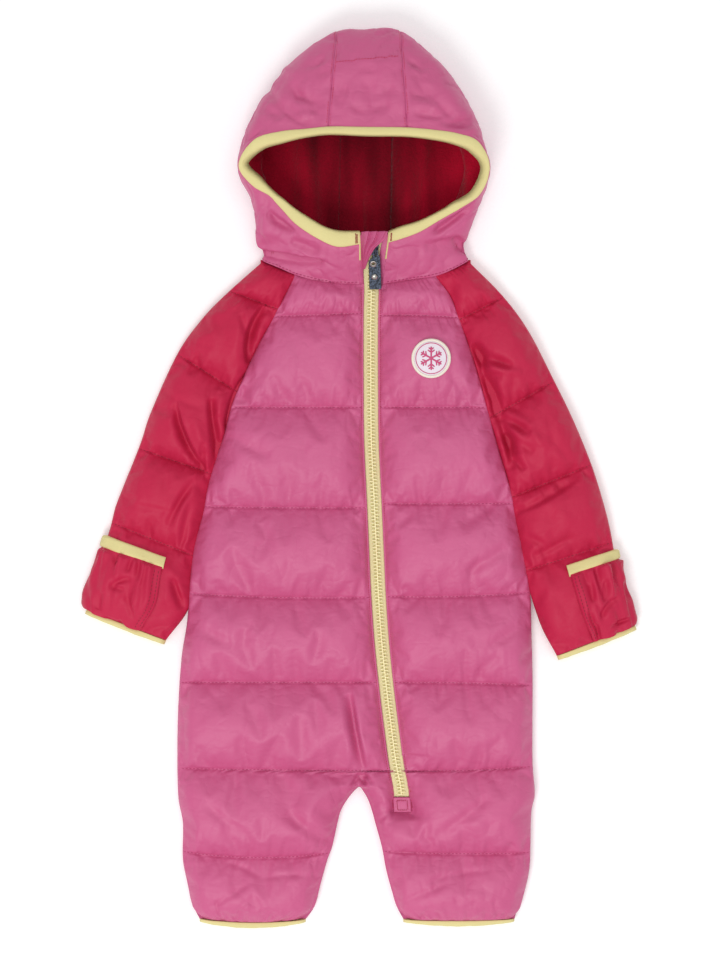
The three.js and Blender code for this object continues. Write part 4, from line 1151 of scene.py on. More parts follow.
    def slit(self, points: Grid) -> Grid:
        """Presses the front down under the lower end of the zip.

        Args:
            points: The front's places.
        """
        x, y, z = points[:, 0], points[:, 1], points[:, 2]
        off = np.abs(x - Outline.zip(y))
        beside = np.clip((off - self.slit_half) / 0.9, 0, 1)
        below = np.clip((self.slit_bottom - y) / 1.2, 0, 1)
        share = np.where(y > self.slit_top, 1, np.maximum(beside, below))
        points = points.copy()
        points[:, 2] = np.where(z > self.front_bottom + 0.2, lerp(self.front_bottom + 0.3, z, share), z)
        return points

    def make_back(self, side: Side) -> None:
        """Makes one back, flat where it lies and rounded up to the side seam.

        Args:
            side: Which back.
        """
        direction = -1 if side is Side.RIGHT else 1
        us = spaced(30, 0.7)
        heights = np.sort(
            np.append(np.linspace(-397, self.neck, 150), [Outline.crotch, Outline.underarm[side]])
        )[::-1]
        rows = []
        low = Outline.underarm[side]
        for y in heights:
            middle = lerp(2, 8, min(max((y - Outline.crotch) / (self.neck - Outline.crotch), 0), 1))
            centre = middle + direction * 0.5 if y >= Outline.crotch else float(Outline.inseam[side](y))
            edge = float(Outline.back_side(side, np.array(y), self.neck))
            width = abs(edge - centre)
            z = np.zeros_like(us)
            top = self.back_top - 0.8
            if y < low:
                z = top * (1 - quarter((1 - us) * width / self.under_round)) * min((low - y) / 20, 1)
            if y < Outline.crotch:
                z = np.maximum(z, top * (1 - quarter(us * width / self.under_round)))
            line = min(abs(y - mark[1]) for mark in self.lines[side][1:-1])
            groove = 2.2 * math.exp(-((line / 3.0) ** 2))
            x = lerp(centre, edge, us)
            rows.append(row_at(x, y, z + groove * np.clip(1 - z / 4, 0, 1)))
        outer = np.array(rows)
        inner = outer.copy()
        inner[:, :, 2] = self.back_top
        points, faces = shell(outer, inner, [10, 20])
        made = self.plan.piece(f"quilted_back_{side.value}", points, faces, self.finishes.pink)
        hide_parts(f"back_{side.value}")

    def height(self, side: Side, x: float, y: float) -> float:
        """Returns the height of a front's face above a place in plan.

        Args:
            side: Which front.
            x: The place.
            y: The place.
        """
        grid = self.grids[side]
        near = np.hypot(grid[:, :, 0] - x, grid[:, :, 1] - y)
        chosen = np.argsort(near.reshape(-1))[:4]
        weights = 1 / (near.reshape(-1)[chosen] + 0.2)
        return float((grid[:, :, 2].reshape(-1)[chosen] * weights).sum() / weights.sum())


# Sleeves


@dataclass(frozen=True)
class SleeveRow:
    """One row of a sleeve: where its front, outer and back edges lie."""

    fx: float | None
    fy: float
    ox: float
    oy: float
    gy: float
    line: bool
    puff: float


@dataclass
class Sleeves:
    """The red raglan sleeves with their mitten flaps and yellow bands."""

    plan: Plan
    finishes: Wardrobe
    slack: Slack
    puff: float = 15.0
    stitch_top: float = 14.5
    seam_top: float = 10.8
    front_bottom: float = 10.0
    back_top: float = 9.7
    round: float = 30.0
    side_round: float = 17.0
    under_round: float = 10.0
    edge_gap: float = -0.35
    layer_gap: float = 0.35
    band_rise: float = 3.0
    flap_wall: float = 2.0
    step: float = 2.5
    columns: int = 42
    grids: dict = field(default_factory=dict)
    marks: dict = field(default_factory=dict)
    numbers: dict = field(default_factory=dict)
    under_columns: int = 12
    corner_tuck: float = 3.5
    seams: dict = field(default_factory=dict)
    band_end: float = 1.6

    flap_starts = {Side.RIGHT: 0.32, Side.LEFT: 0.45}
    band_tops = {Side.RIGHT: 0.15, Side.LEFT: 0.105}
    band_shares = {Side.RIGHT: 0.103, Side.LEFT: 0.115}
    rows = {
        Side.RIGHT: [SleeveRow(*row) for row in (
            # fx, fy, ox, oy, gy, line, puff
            (None, 184, -85.6, 194.6, 195.5, True, 0.55), (None, 153.5, -113, 169, 158, True, 0.9),
            (None, 116.5, -138, 143, 118, False, 1), (None, 79, -161, 112, 79, True, 1),
            (None, 40, -184, 61, 40, False, 1), (None, 5, -193, 26.5, 5, True, 1),
            (None, -32, -206, -7, -32, False, 0.95), (None, -69, -219.5, -40, -69, True, 0.75),
            (None, -114, -237, -92, -114, False, 0.75), (-173, -145, -245, -117, -145, True, 0),
        )],
        Side.LEFT: [SleeveRow(*row) for row in (
            # fx, fy, ox, oy, gy, line, puff
            (None, 184, 100.6, 194.6, 195.5, True, 0.55), (None, 144, 130, 163.5, 150, True, 0.9),
            (None, 100, 153, 131, 108, False, 1), (None, 55.5, 175, 87, 65, True, 1),
            (None, 22, 193, 49, 26, False, 1), (None, -16, 208, 12, -16, True, 1),
            (None, -50, 219, -23, -50, False, 0.95), (None, -83, 229.5, -57, -83, True, 0.75),
            (165, -130, 241, -100, -130, False, 0.75), (180, -159, 251, -131.5, -159, True, 0),
        )],
    }
    folds = crease_table([
        # x1, y1, x2, y2, width, depth, bow, bias
        (-84, 157, -99, 104, 5.6, 15, 6.5, -0.6), (-95, 101, -119, 44, 5.8, 15, 5.5, -0.6),
        (-92, 156, -108, 104, 8, -2.6, 6.5), (-104, 100, -128, 46, 8, -2.6, 5.5),
        (-163, 70, -137, 8, 5, 12, 5, 0.4), (-132, 74, -125, 12, 5.6, 14, 1, -0.3),
        (-149, 58, -131, 16, 8, -4), (-146, 0, -170, -42, 5, 6, 2), (-166, -88, -157, -117, 5, 8, 1),
        (-205, -22, -168, -30, 5, 2), (-178, 80, -136, 64, 5, 1.6, 2), (-150, -20, -160, -62, 5, 4),
        (-104, 150, -98, 128, 4.4, 4, 1), (-138, 34, -140, 4, 4.4, 5, 1), (-172, -78, -160, -92, 5, -2),
        (105, 123, 114, 94, 6, 14, -2), (114, 95, 127, 57, 6, 14, -2), (127, 57, 140, 8, 6, 12, -2),
        (107, 113, 139, 101, 6, 7), (113, 95, 130, 92, 4.6, 5), (116, 90, 132, 61, 8, 6),
        (112, 101, 148, 96, 5, -3), (128, 57, 156, 42, 6, 8), (136, 39, 158, 24, 6, 6),
        (150, 50, 166, 30, 6, -3.4), (134, 43, 143, 21, 6, 9), (140, 21, 150, 8, 5, 7),
        (142, -30, 196, 0, 5, 6, 2, -0.3), (158, -70, 192, -52, 5, 4), (150, -50, 170, -60, 5, 4),
    ])

    fuller = {
        Side.RIGHT: Curve([
            (210, 1.5), (157, 3.6), (112, 2.4), (67, 2.4), (44, 3.6), (22, 5.4), (-23, 5.2), (-45, 2.6),
            (-90, 2), (-118, 0), (-160, 0),
        ]),
        Side.LEFT: Curve([
            (210, 1.5), (157, 2.8), (112, 3.2), (67, 3.8), (22, 3.8), (-23, 3.8), (-45, 2.4), (-70, 0),
            (-160, 0),
        ]),
    }
    flap_folds = crease_table([
        # x1, y1, x2, y2, width, depth, bow, bias
        (-217.4, -66, -214.7, -76, 2.6, 3), (-202, -68, -206.6, -84, 3, 3.6),
        (-203, -88.7, -221, -97, 3.4, 3.4, 2), (-194.4, -73, -197.6, -90, 2.8, 3),
        (-221, -95.9, -208.4, -98.6, 3, 2.4), (-226.7, -122, -213.3, -129.2, 3, 2.6),
        (-214.7, -124.7, -208.4, -134, 3, 2.8), (-228, -100, -232, -116, 3.4, 2),
        (-206, -104, -200, -122, 3.4, 2.2), (209, -94, 211, -110, 2.8, 3),
        (222.8, -90, 221, -109, 2.8, 3.4), (231.8, -106, 218, -123, 3.2, 3, 2),
        (236, -92, 241, -110, 2.8, 3), (227, -131, 243.5, -124.7, 3, 2.4),
        (213.8, -126, 218, -145, 3.2, 2.8), (206, -116, 212, -132, 3, 2.4),
        (232, -134, 240, -146, 3, 2.4),
    ])

    def stations(self, side: Side) -> list[tuple[float, float, int]]:
        """Returns how far down the sleeve each row lies, how far through its band and which band.

        Args:
            side: Which sleeve.
        """
        rows = self.rows[side]
        lines = [i for i, row in enumerate(rows) if row.line]
        made, marks = [], []
        for band in range(len(lines) - 1):
            first, last = rows[lines[band]], rows[lines[band + 1]]
            length = 0.5 * (abs(first.fy - last.fy) + math.hypot(first.ox - last.ox, first.oy - last.oy))
            count = max(6, round(length / self.step))
            marks.append(len(made))
            made += [(lerp(lines[band], lines[band + 1], t), t, band) for t in spaced(count, 0.35)[:-1]]
        marks.append(len(made))
        made.append((float(len(rows) - 1), 1.0, len(lines) - 2))
        self.marks.setdefault(side, marks)
        return made

    def small_creases(self, side: Side) -> list[Crease]:
        """Scatters the soft creases of slack nylon over a sleeve.

        Args:
            side: Which sleeve.

        Returns:
            Creases and ridges, mostly along the sleeve.
        """
        dice = random.Random(31 if side is Side.RIGHT else 47)
        rows = self.rows[side]
        made = []
        for _ in range(40):
            k = dice.uniform(0.2, len(rows) - 1.8)
            a, b = rows[int(k)], rows[int(k) + 1]
            f = k - int(k)
            fy = lerp(a.fy, b.fy, f)
            fx = float(Outline.side[side](fy)) if a.fx is None else a.fx
            u = dice.uniform(0.08, 0.9)
            x, y = lerp(fx, lerp(a.ox, b.ox, f), u), lerp(fy, lerp(a.oy, b.oy, f), u)
            down = math.atan2(b.oy - a.oy, b.ox - a.ox) + dice.uniform(-0.75, 0.75)
            reach = dice.uniform(14, 40)
            dx, dy = reach * math.cos(down), reach * math.sin(down)
            depth = dice.choice([-1, 1]) * dice.uniform(0.7, 2.2)
            made.append(
                Crease(
                    x - dx / 2, y - dy / 2, x + dx / 2, y + dy / 2, dice.uniform(5, 9), depth,
                    dice.uniform(-4, 4)
                )
            )
        return made

    def sleeve_grid(self, side: Side, plain: bool = False) -> Grid:
        """Returns a sleeve's outer face: each row runs from the front seam over the outer fold and back.

        Args:
            side: Which sleeve.
            plain: Whether the soft creases are left out.
        """
        rows = self.rows[side]
        keys = [-float(i) for i in range(len(rows))]
        leaves = next(i for i, row in enumerate(rows) if row.fx is not None)
        gap = (-1 if side is Side.RIGHT else 1) * self.edge_gap
        neck = Body.neck

        def column(pick: str) -> Curve:
            """Returns a curve through one of the table's columns."""
            return Curve([(key, getattr(row, pick)) for key, row in zip(keys, rows)])

        fy, gy, ox, oy, puff = (column(pick) for pick in ("fy", "gy", "ox", "oy", "puff"))
        fx = Curve([
            (key, float(Outline.side[side](row.fy)) + gap if row.fx is None else row.fx)
            for key, row in zip(keys, rows)
        ])
        us = spaced(self.columns, 0.45) * 0.985
        unders = 1 - spaced(self.under_columns, 0.6)
        creases = [] if plain else self.small_creases(side)
        grid = []
        for v, t, band in self.stations(side):
            front_y, back_y = float(fy(-v)), float(gy(-v))
            if v <= leaves - 1:
                front_x = float(Outline.side[side](front_y)) + gap
                back_x = float(Outline.back_side(side, np.array(back_y), neck)) + gap
            else:
                front_x = back_x = float(fx(-v))
            out_x, out_y = float(ox(-v)), float(oy(-v))
            width = math.hypot(out_x - front_x, out_y - front_y)
            more = float(self.fuller[side](out_y)) / width
            out_x, out_y = out_x + (out_x - front_x) * more, out_y + (out_y - front_y) * more
            free = min(max((Outline.underarm[side] - front_y) / 20, 0), 1)
            x, y = lerp(front_x, out_x, us), lerp(front_y, out_y, us)
            from_front, from_outer = us * width, (1 - us) * width
            crown = quarter(from_front / (self.round * 0.8)) * quarter(from_outer / self.round)
            fold = creased(creases, x, y) * crown * swell(t)
            near_top = math.exp(-(t * 60 / 8)) * min(t * 30, 1)
            near_low = math.exp(-((1 - t) * 60 / 8)) * min((1 - t) * 30, 1)
            line_noise = [
                np.array(
                    [
                        wander(s, 0, 20.5 + band + k, 6.0) + 0.7 * wander(s, 0, 40.5 + band + k, 14.0)
                        for s in us * 90
                    ]
                )
                for k in (0, 1)
            ]
            gather = (line_noise[0] * near_top + line_noise[1] * near_low) * 2.2 * np.clip(
                crown * 1.5, 0, 1
            )
            z = self.stitch_top + self.puff * float(puff(-v)) * swell(t) * crown - fold + gather
            z = lerp(z, self.seam_top + (z - self.seam_top) * quarter(from_front / self.side_round), free)
            z = self.front_bottom + (z - self.front_bottom) * quarter(from_outer / self.side_round)
            front = np.stack([x, y, np.maximum(z, self.front_bottom + 0.5)], axis=-1)
            edge = np.array([[out_x, out_y, self.front_bottom - 1]])
            x, y = lerp(back_x, out_x, unders), lerp(back_y, out_y, unders)
            from_outer, from_back = (1 - unders) * width, unders * width
            z = (self.front_bottom - 1) * (1 - quarter(from_outer / (self.under_round * 0.9)))
            z = np.maximum(z, free * (self.back_top - 0.8) * (1 - quarter(from_back / self.under_round)))
            grid.append(np.concatenate([front, edge, np.stack([x, y, z], axis=-1)[1:]]))
        return np.array(grid)

    def hang(self) -> None:
        """Adds both sleeves to the simulation."""
        for side in Side:
            grid = self.sleeve_grid(side)
            front = grid.shape[1] - self.under_columns - 1
            pinned = np.zeros(grid.shape[:2], dtype=bool)
            pinned[self.marks[side]] = True
            pinned[:, 0] = True
            pinned[:, front - 2 :] = True
            self.grids[side] = grid
            self.numbers[side] = self.slack.hang(grid, pinned)

    def crease(self, side: Side, fold: int) -> None:
        """Adds the deep folds, the puckers at the stitching and the creases that fan out from it.

        Args:
            side: Which sleeve.
            fold: The column of the outer fold.
        """
        grid = self.grids[side][:, : fold - 4]
        dice = random.Random(17 if side is Side.RIGHT else 29)
        creases = list(self.folds)
        for row in self.marks[side][1:-1]:
            path = grid[row]
            away = np.array([-(path[-1][1] - path[0][1]), path[-1][0] - path[0][0]])
            creases += fans(dice, path, away, 20, (6, 18), 1.2)
        x, y, z = (grid[:, :, k] for k in range(3))
        cover = np.clip((z - self.seam_top - 1) / 4, 0, 1)
        lower = creased(creases, x, y)
        for row in self.marks[side][1:-1]:
            off = np.hypot(x - x[row][None, :], y - y[row][None, :])
            scallop = np.array([wander(v, 0, row * 0.41, 3.4) for v in x[row] * 1.3])
            near = np.exp(-off / 3.0) * np.clip(off / 0.8, 0, 1)
            lower += near * scallop[None, :] * 1.9
        grid[:, :, 2] = np.maximum(z - lower * cover, self.front_bottom + 0.8)

    def inside(self, grid: Grid, fold: int) -> Grid:
        """Returns the inner face of a sleeve's wall, a flat slot that stops short of the outer fold.

        Args:
            grid: The outer face.
            fold: The column of the outer fold.
        """
        inner = grid.copy()
        for row in inner:
            front, outer, back = row[0].copy(), row[fold].copy(), row[-1].copy()
            stop = 1 - 7 / math.hypot(outer[0] - front[0], outer[1] - front[1])
            for j in range(len(row)):
                start = back if j > fold else front
                span = math.hypot(outer[0] - start[0], outer[1] - start[1])
                u = min(math.hypot(row[j][0] - start[0], row[j][1] - start[1]) / span, 1) * stop
                level = self.back_top if j > fold else self.front_bottom
                row[j] = (lerp(start[0], outer[0], u), lerp(start[1], outer[1], u), level)
        return inner

    def dress(self, settled: list[Grid]) -> None:
        """Makes both sleeves with their bands and flaps.

        Args:
            settled: What the simulation returned.
        """
        for side in Side:
            coarse = settled[self.numbers[side]]
            fold = 2 * (coarse.shape[1] - self.under_columns - 1)
            grid = refined(coarse)
            grid[:, :, 2] = np.maximum(grid[:, :, 2], 0)
            self.marks[side] = [2 * mark for mark in self.marks[side]]
            self.grids[side] = grid
            self.crease(side, fold)
            keep = [40, fold - 1, fold, fold + 1]
            hidden = grid[:1].copy()
            hidden[:, :, 1] += 3.2
            hidden[:, : fold + 1, 2] = np.minimum(hidden[:, : fold + 1, 2], self.front_bottom + 1)
            longer = np.concatenate([hidden, grid])
            points, faces = shell(longer, self.inside(longer, fold), keep)
            made = self.plan.piece(f"quilted_sleeve_{side.value}", points, faces, self.finishes.red)
            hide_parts(f"sleeve_{side.value}")
            self.make_flap(side, fold)

    def make_flap(self, side: Side, fold: int) -> None:
        """Makes one mitten flap and the band along its upper edge.

        Args:
            side: Which sleeve.
            fold: The column of the outer fold.
        """
        plain = self.smooth_grid(side)
        start = 2 * int(np.searchsorted(spaced(self.columns, 0.45), self.flap_starts[side]))
        above = self.marks[side][-2]
        length = len(plain) - 1 - above
        turn = {Side.RIGHT: 1, Side.LEFT: -1}[side]
        band_top = self.band_tops[side]
        band_low = band_top + self.band_shares[side]
        places = np.linspace(band_low - 0.035, 0.985, 60)
        rows = self.between(plain, above + places * length)[:, start : fold + 1]
        down = np.linspace(0, 1, rows.shape[0])
        out = facing(rows, turn)
        across = np.linspace(0, 1, rows.shape[1])
        pleat = np.array(
            [
                [wander(a * 75 + d * 5, d * 16, 61.3 + (side is Side.LEFT), 6.5) for a in across]
                for d in down
            ]
        )
        broad = np.array(
            [[wander(a * 75, d * 12, 71.3 + (side is Side.LEFT), 12.0) for a in across] for d in down]
        )
        hem = np.minimum(across[None, :] * 14, 1)
        gathers = pleat * np.exp(-down[:, None] * 2.6) * 9.5 + broad * 3.6 * np.exp(-down[:, None] * 0.5)
        below_band = np.clip((places[:, None] - band_low) / 0.02, 0, 1)
        wrinkles = 1.5 * creased(self.flap_folds, rows[:, :, 0], rows[:, :, 1]) * below_band
        lift = self.layer_gap + self.flap_wall + (
            gathers * hem + 3.0 * np.minimum(hem, 1)
        ) * below_band - wrinkles
        lift = np.maximum(lift, self.layer_gap + 0.4)
        outward = rows[:, -1:] - rows[:, :1]
        outward = outward / np.linalg.norm(outward, axis=2, keepdims=True)
        tuck = self.corner_tuck * np.clip((down[:, None] - 0.82) / 0.18, 0, 1) ** 2 * across[None, :] ** 6
        rows = rows - outward * tuck[:, :, None]
        top = rows + out * lift[:, :, None]
        top[:, :, 2] = np.maximum(top[:, :, 2], 0.2)
        self.seams[side] = (top[5:-3, 2], top[5:-3, 5])
        base = rows + out * self.layer_gap
        base[:, :, 2] = np.maximum(base[:, :, 2], 0)
        points, faces = shell(top, base)
        made = self.plan.piece(f"gathered_flap_{side.value}", points, faces, self.finishes.red)
        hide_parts(f"mitten_flap_{side.value}")
        band_places = above + np.linspace(band_top, band_low, 12) * length
        band_rows = self.between(plain, band_places)[:, start - 1 : fold + 1]
        out = facing(band_rows, turn)
        along = np.linspace(0, 1, band_rows.shape[0])
        soft = quarter(along * 4) * quarter((1 - along) * 4)
        ruffle = np.array([wander(k * 0.8, 0, 81.0, 6.0) for k in range(band_rows.shape[1])]) * 0.3
        ruffle = ruffle + self.band_end * np.linspace(0, 1, band_rows.shape[1]) ** 5
        tall = self.layer_gap + 0.6 + (
            self.band_rise - 0.6
        ) * soft[:, None] + ruffle[None, :] * soft[:, None]
        points, faces = shell(band_rows + out * tall[:, :, None], band_rows + out * self.layer_gap)
        made = self.plan.piece(f"elastic_band_{side.value}", points, faces, self.finishes.binding)
        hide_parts(f"flap_band_{side.value}")

    def smooth_grid(self, side: Side) -> Grid:
        """Returns a sleeve's face with no creases, for what lies on it.

        Args:
            side: Which sleeve.
        """
        grid = refined(self.sleeve_grid(side, True))
        grid[:, :, 2] = np.maximum(grid[:, :, 2], self.grids[side][:, :, 2])
        return softened(grid, 24)

    @staticmethod
    def between(grid: Grid, rows: Grid) -> Grid:
        """Returns rows between those of a grid.

        Args:
            grid: The grid.
            rows: Row numbers with a fraction.
        """
        low = np.clip(rows.astype(int), 0, len(grid) - 2)
        share = (rows - low)[:, None, None]
        return grid[low] * (1 - share) + grid[low + 1] * share


# Elastic bindings at the hems and cuffs


@dataclass
class EdgeBinding:
    """Elastic binding folded round a flat opening."""

    name: str
    node: str
    a: tuple[float, float]
    b: tuple[float, float]
    away: tuple[float, float]
    height: float
    depth: float
    ends: float
    bend: float
    gap: float = 0.5
    wall: float = 3.0
    across: int = 60

    def make(self, plan: Plan, material: bpy.types.Material) -> None:
        """Makes the binding with its gathers.

        Args:
            plan: Where it goes.
            material: Its finish.
        """
        ax, ay = self.a
        bx, by = self.b
        length = math.hypot(bx - ax, by - ay)
        middle = self.height / 2
        outer, inner = [], []
        for f in np.linspace(0, 1, 9):
            thick = lerp(1.0, 0.82, f**3) + 0.06 * math.sin(math.pi * f)
            half = middle * thick
            ring, slot = [], []
            for i in range(2 * self.across):
                s = i / (2 * self.across)
                under = s >= 0.5
                w = 2 - 2 * s if under else 2 * s
                u = (1 - math.cos(math.pi * w)) / 2
                near = min(u, 1 - u) * length
                gather = wander(u * length, 0, 90.1 + len(self.name), 4.5) * 0.45 * min(near / 4, 1)
                lift = half * float(quarter(near / half)) + (gather if not under else 0)
                ripple = wander(u * length, 5, 95.1 + len(self.name), 7.0) * 0.5 * f
                ring.append(self.spot(u, f, max(0.0, middle + (-lift if under else lift)), ripple))
                shrunk = lerp(self.wall / length, 1 - self.wall / length, u)
                slot.append(self.spot(shrunk, f, 9.7 if under or i == 0 else 10.0, 0))
            outer.append(ring)
            inner.append(slot)
        points, faces = shell(np.array(outer), np.array(inner), None, True)
        made = plan.piece(self.name, points, faces, material)
        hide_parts(self.node)
        wide = self.depth + self.ends + self.wall
        wide * MM

    def spot(self, u: float, f: float, z: float, ripple: float) -> tuple[float, float, float]:
        """Returns a place on the binding.

        Args:
            u: From 0 at end a to 1 at end b.
            f: From 0 at the cloth to 1 at the outer edge.
            z: Height.
            ripple: How far the outer edge wavers.
        """
        halfway = (self.bend + f * (self.depth - self.ends)) * 4 * u * (1 - u)
        reach = self.gap + f * self.ends + halfway + ripple * min(8 * u, 8 * (1 - u), 1)
        x = lerp(self.a[0], self.b[0], u) + self.away[0] * reach
        y = lerp(self.a[1], self.b[1], u) + self.away[1] * reach
        return (x, y, z)


def edge_bindings() -> list[EdgeBinding]:
    """Returns the bindings of both hems and both cuffs."""
    made = []
    for side in Side:
        last = Body.lines[side][-1]
        a = (float(Outline.side[side](last[2])), last[2])
        b = (float(Outline.inner(side, np.array(last[0]))), last[0])
        bend = (last[0] + last[2]) / 2 - last[1]
        name = side.value
        made.append(
            EdgeBinding(f"elastic_hem_{name}", f"hem_binding_{name}", a, b, (0, -1), 13.5, 5, 2.5, bend)
        )
        row = Sleeves.rows[side][-1]
        a, b = (row.ox, row.oy), (row.fx, row.fy)
        length = math.hypot(b[0] - a[0], b[1] - a[1])
        turn = 1 if side is Side.RIGHT else -1
        away = (turn * (b[1] - a[1]) / length, -turn * (b[0] - a[0]) / length)
        made.append(EdgeBinding(f"elastic_cuff_{name}", f"cuff_binding_{name}", a, b, away, 13, 5, 4, 0))
    return made


# The hood


@dataclass(frozen=True)
class Rib:
    """One rib of the hood in plan: neck seam, widest place, and the binding's outer and inner edges."""

    bx: float
    by: float
    bz: float
    sx: float | None
    sy: float | None
    ex: float
    ey: float
    ix: float
    iy: float
    floor: float


@dataclass
class Hood:
    """The pink hood, its fleece lining and its yellow binding."""

    plan: Plan
    finishes: Wardrobe
    wall: float = 3.0
    lining_gap: float = 0.9
    lining_wall: float = 1.6
    rim_low: tuple[float, float] = (208, 37)
    rim_high: tuple[float, float] = (314, 62)
    rim_lip: float = 2.5
    widest_share: float = 0.42
    floor_inset: float = 18
    front_bulge: float = 2
    centre: tuple[float, float] = (6, 279)
    panel: tuple[float, float] = (12, 14)

    ribs = [
        Rib(3.4, 176, 15.5, None, None, 2.7, 208.3, 2.2, 221, 0),
        Rib(-28.4, 177.6, 15.5, None, None, -18.5, 205.7, -15.8, 221.4, 0),
        Rib(-54, 183.8, 15.5, None, None, -37.4, 213.8, -28.4, 224.6, 0),
        Rib(-71, 190.8, 15.5, None, None, -57.2, 227.3, -47.3, 235.4, 0),
        Rib(-85, 197, 15, -90, 212, -68, 239, -59, 243.5, 0),
        Rib(-83.5, 198.5, 6, -91.2, 220, -74, 246, -66.5, 249.5, 0.55),
        Rib(-74, 198.5, 0, -90.5, 228.2, -78.8, 252, -72.5, 253.4, 1),
        Rib(-67, 198.5, 0, -95, 252.5, -94, 260.6, -86, 266, 1),
        Rib(-60.8, 198.5, 0, -106.2, 276.8, -106.2, 278.6, -101.3, 280.4, 1),
        Rib(-51.8, 198.5, 0, -100.4, 311, -92.3, 302.4, -86, 293.9, 1),
        Rib(-41, 198.5, 0, -86, 341.6, -68, 310, -66, 299.3, 1),
        Rib(-28.4, 198.5, 0, -56.3, 377.6, -45.5, 311.9, -43.7, 304.2, 1),
        Rib(-17.6, 198.5, 0, -18.5, 402.8, -25.7, 313.7, -25.7, 306, 1),
        Rib(5.9, 198.5, 0, 9.5, 405, 8.6, 313.7, 8.6, 304.7, 1),
        Rib(29.3, 198.5, 0, 38.3, 402.8, 43.7, 313.2, 43.7, 304.2, 1),
        Rib(40, 198.5, 0, 70.7, 377.6, 67, 311.4, 65.3, 302, 1),
        Rib(52.6, 198.5, 0, 96.8, 343.4, 88.7, 308.3, 85, 298.4, 1),
        Rib(63.4, 198.5, 0, 110.3, 311.9, 106.7, 301.5, 102.2, 292, 1),
        Rib(72.5, 198.5, 0, 117.9, 276.8, 117.9, 278.6, 113.9, 278.6, 1),
        Rib(78, 198.5, 0, 111.2, 252.5, 110.3, 255.2, 104, 254.3, 1),
        Rib(86, 198.5, 0, 103, 231.8, 92.3, 240.8, 85, 245.3, 1),
        Rib(97.5, 198.5, 6, 100, 222, 84, 236, 79.5, 242, 0.55),
        Rib(99.5, 197, 15, 95.9, 212.9, 74.3, 230.4, 71.6, 238, 0),
        Rib(74.3, 184.5, 15.5, None, None, 56.3, 219.6, 54.5, 230, 0),
        Rib(47.3, 180, 15.5, None, None, 40, 213.3, 38.3, 225, 0),
        Rib(21.8, 176, 15.5, None, None, 27, 209.7, 28.4, 221, 0),
    ]
    folds = crease_table([
        # x1, y1, x2, y2, width, depth, bow, bias
        (-92, 207, -30, 194, 4.5, 8, 2, 0.4), (-80, 240, -57, 222, 5, 5, 1, 0.3),
        (-60, 214, -34, 202, 6, 3), (68, 219, 100, 240, 5, 5, -1, -0.3), (60, 208, 92, 214, 6, 3),
        (100, 205, 88, 216, 5, 5), (-60, 352, -48, 336, 6, 2.6), (-82, 330, -66, 322, 6, 2.4),
        (-22, 350, -14, 330, 7, 2), (70, 334, 86, 322, 6, 2.6), (52, 356, 66, 340, 6, 2.2),
        (8, 356, 16, 330, 8, 1.6), (-40, 330, -30, 320, 6, 2), (-98, 300, -84, 306, 6, 2),
        (98, 300, 110, 306, 6, 2), (-70, 372, -52, 358, 7, -1.5), (60, 382, 78, 360, 8, -1.5),
        (-55, 343, -28, 332, 4, 2.6, 1), (-73, 336, -44, 313, 4, 2.4, 2), (-64, 334, -51, 322, 3.6, 2),
        (-82, 353, -68, 328, 5, 2), (46, 342, 63, 339, 4, 2.4), (49, 325, 77, 322, 4, 2.4, 1),
        (74, 315, 103, 323, 4.6, 3.6, 2), (77, 310, 104, 317, 4, 2.4), (-18, 349, -8, 344, 4, 2),
        (-7, 331, 9, 325, 4, 2.2), (16, 340, 32, 350, 4, 2.2, 1), (7, 327, 29, 331, 4, 2.2),
        (43, 375, 60, 364, 4, 2), (46, 361, 66, 356, 4, 1.8), (-22, 364, -37, 360, 4, 1.8),
        (-26, 376, -44, 366, 4, 1.8), (0, 366, 18, 362, 4, 1.4), (-30, 324, -56, 320, 5, -1.6),
        (50, 332, 80, 329, 6, -1.6),
    ])

    def rim_height(self, y: float) -> float:
        """Returns the height of the binding's outer edge."""
        q = min(max((y - self.rim_low[0]) / (self.rim_high[0] - self.rim_low[0]), 0), 1)
        return self.rim_low[1] + (self.rim_high[1] - self.rim_low[1]) * q * q

    def places(self, rib: Rib) -> list[Grid]:
        """Returns the six places that a rib passes through.

        Args:
            rib: The rib.
        """
        base = np.array([rib.bx, rib.by, rib.bz])
        edge = np.array([rib.ex, rib.ey, self.rim_height(rib.ey)])
        lip = np.array([rib.ix, rib.iy, edge[2] + self.rim_lip])
        if rib.sx is None:
            widest = (base + edge) / 2 + np.array([0, 0, self.front_bulge])
        else:
            widest = np.array([rib.sx, rib.sy, self.widest_share * edge[2]])
        low = (base + widest) / 2
        if rib.floor:
            inward = np.array([self.centre[0] - rib.sx, self.centre[1] - rib.sy])
            inward = inward * (self.floor_inset / np.linalg.norm(inward))
            floor = np.array([rib.sx + inward[0], rib.sy + inward[1], 0])
            low = lerp(low, floor, rib.floor)
        high = lerp(widest, edge, 0.35)
        high[2] = lerp(widest[2], edge[2], 0.4 if rib.sx is None else 0.72)
        return [base, low, widest, high, edge, lip]

    def grid(self, ats: Grid, steps: Grid) -> Grid:
        """Returns places on the hood's outside.

        Args:
            ats: How far round each row lies, in ribs.
            steps: How far up each column lies: 0 at the neck seam, 1 at the binding, 1.25 at its inner edge.
        """
        table = np.array([self.places(rib) for rib in self.ribs]).transpose(1, 0, 2)
        across = centripetal(table, ats / (len(self.ribs) - 1)).transpose(1, 0, 2)
        spots = centripetal(across, steps * 0.8)
        spots[:, :, 2] = np.maximum(spots[:, :, 2], 0)
        return spots

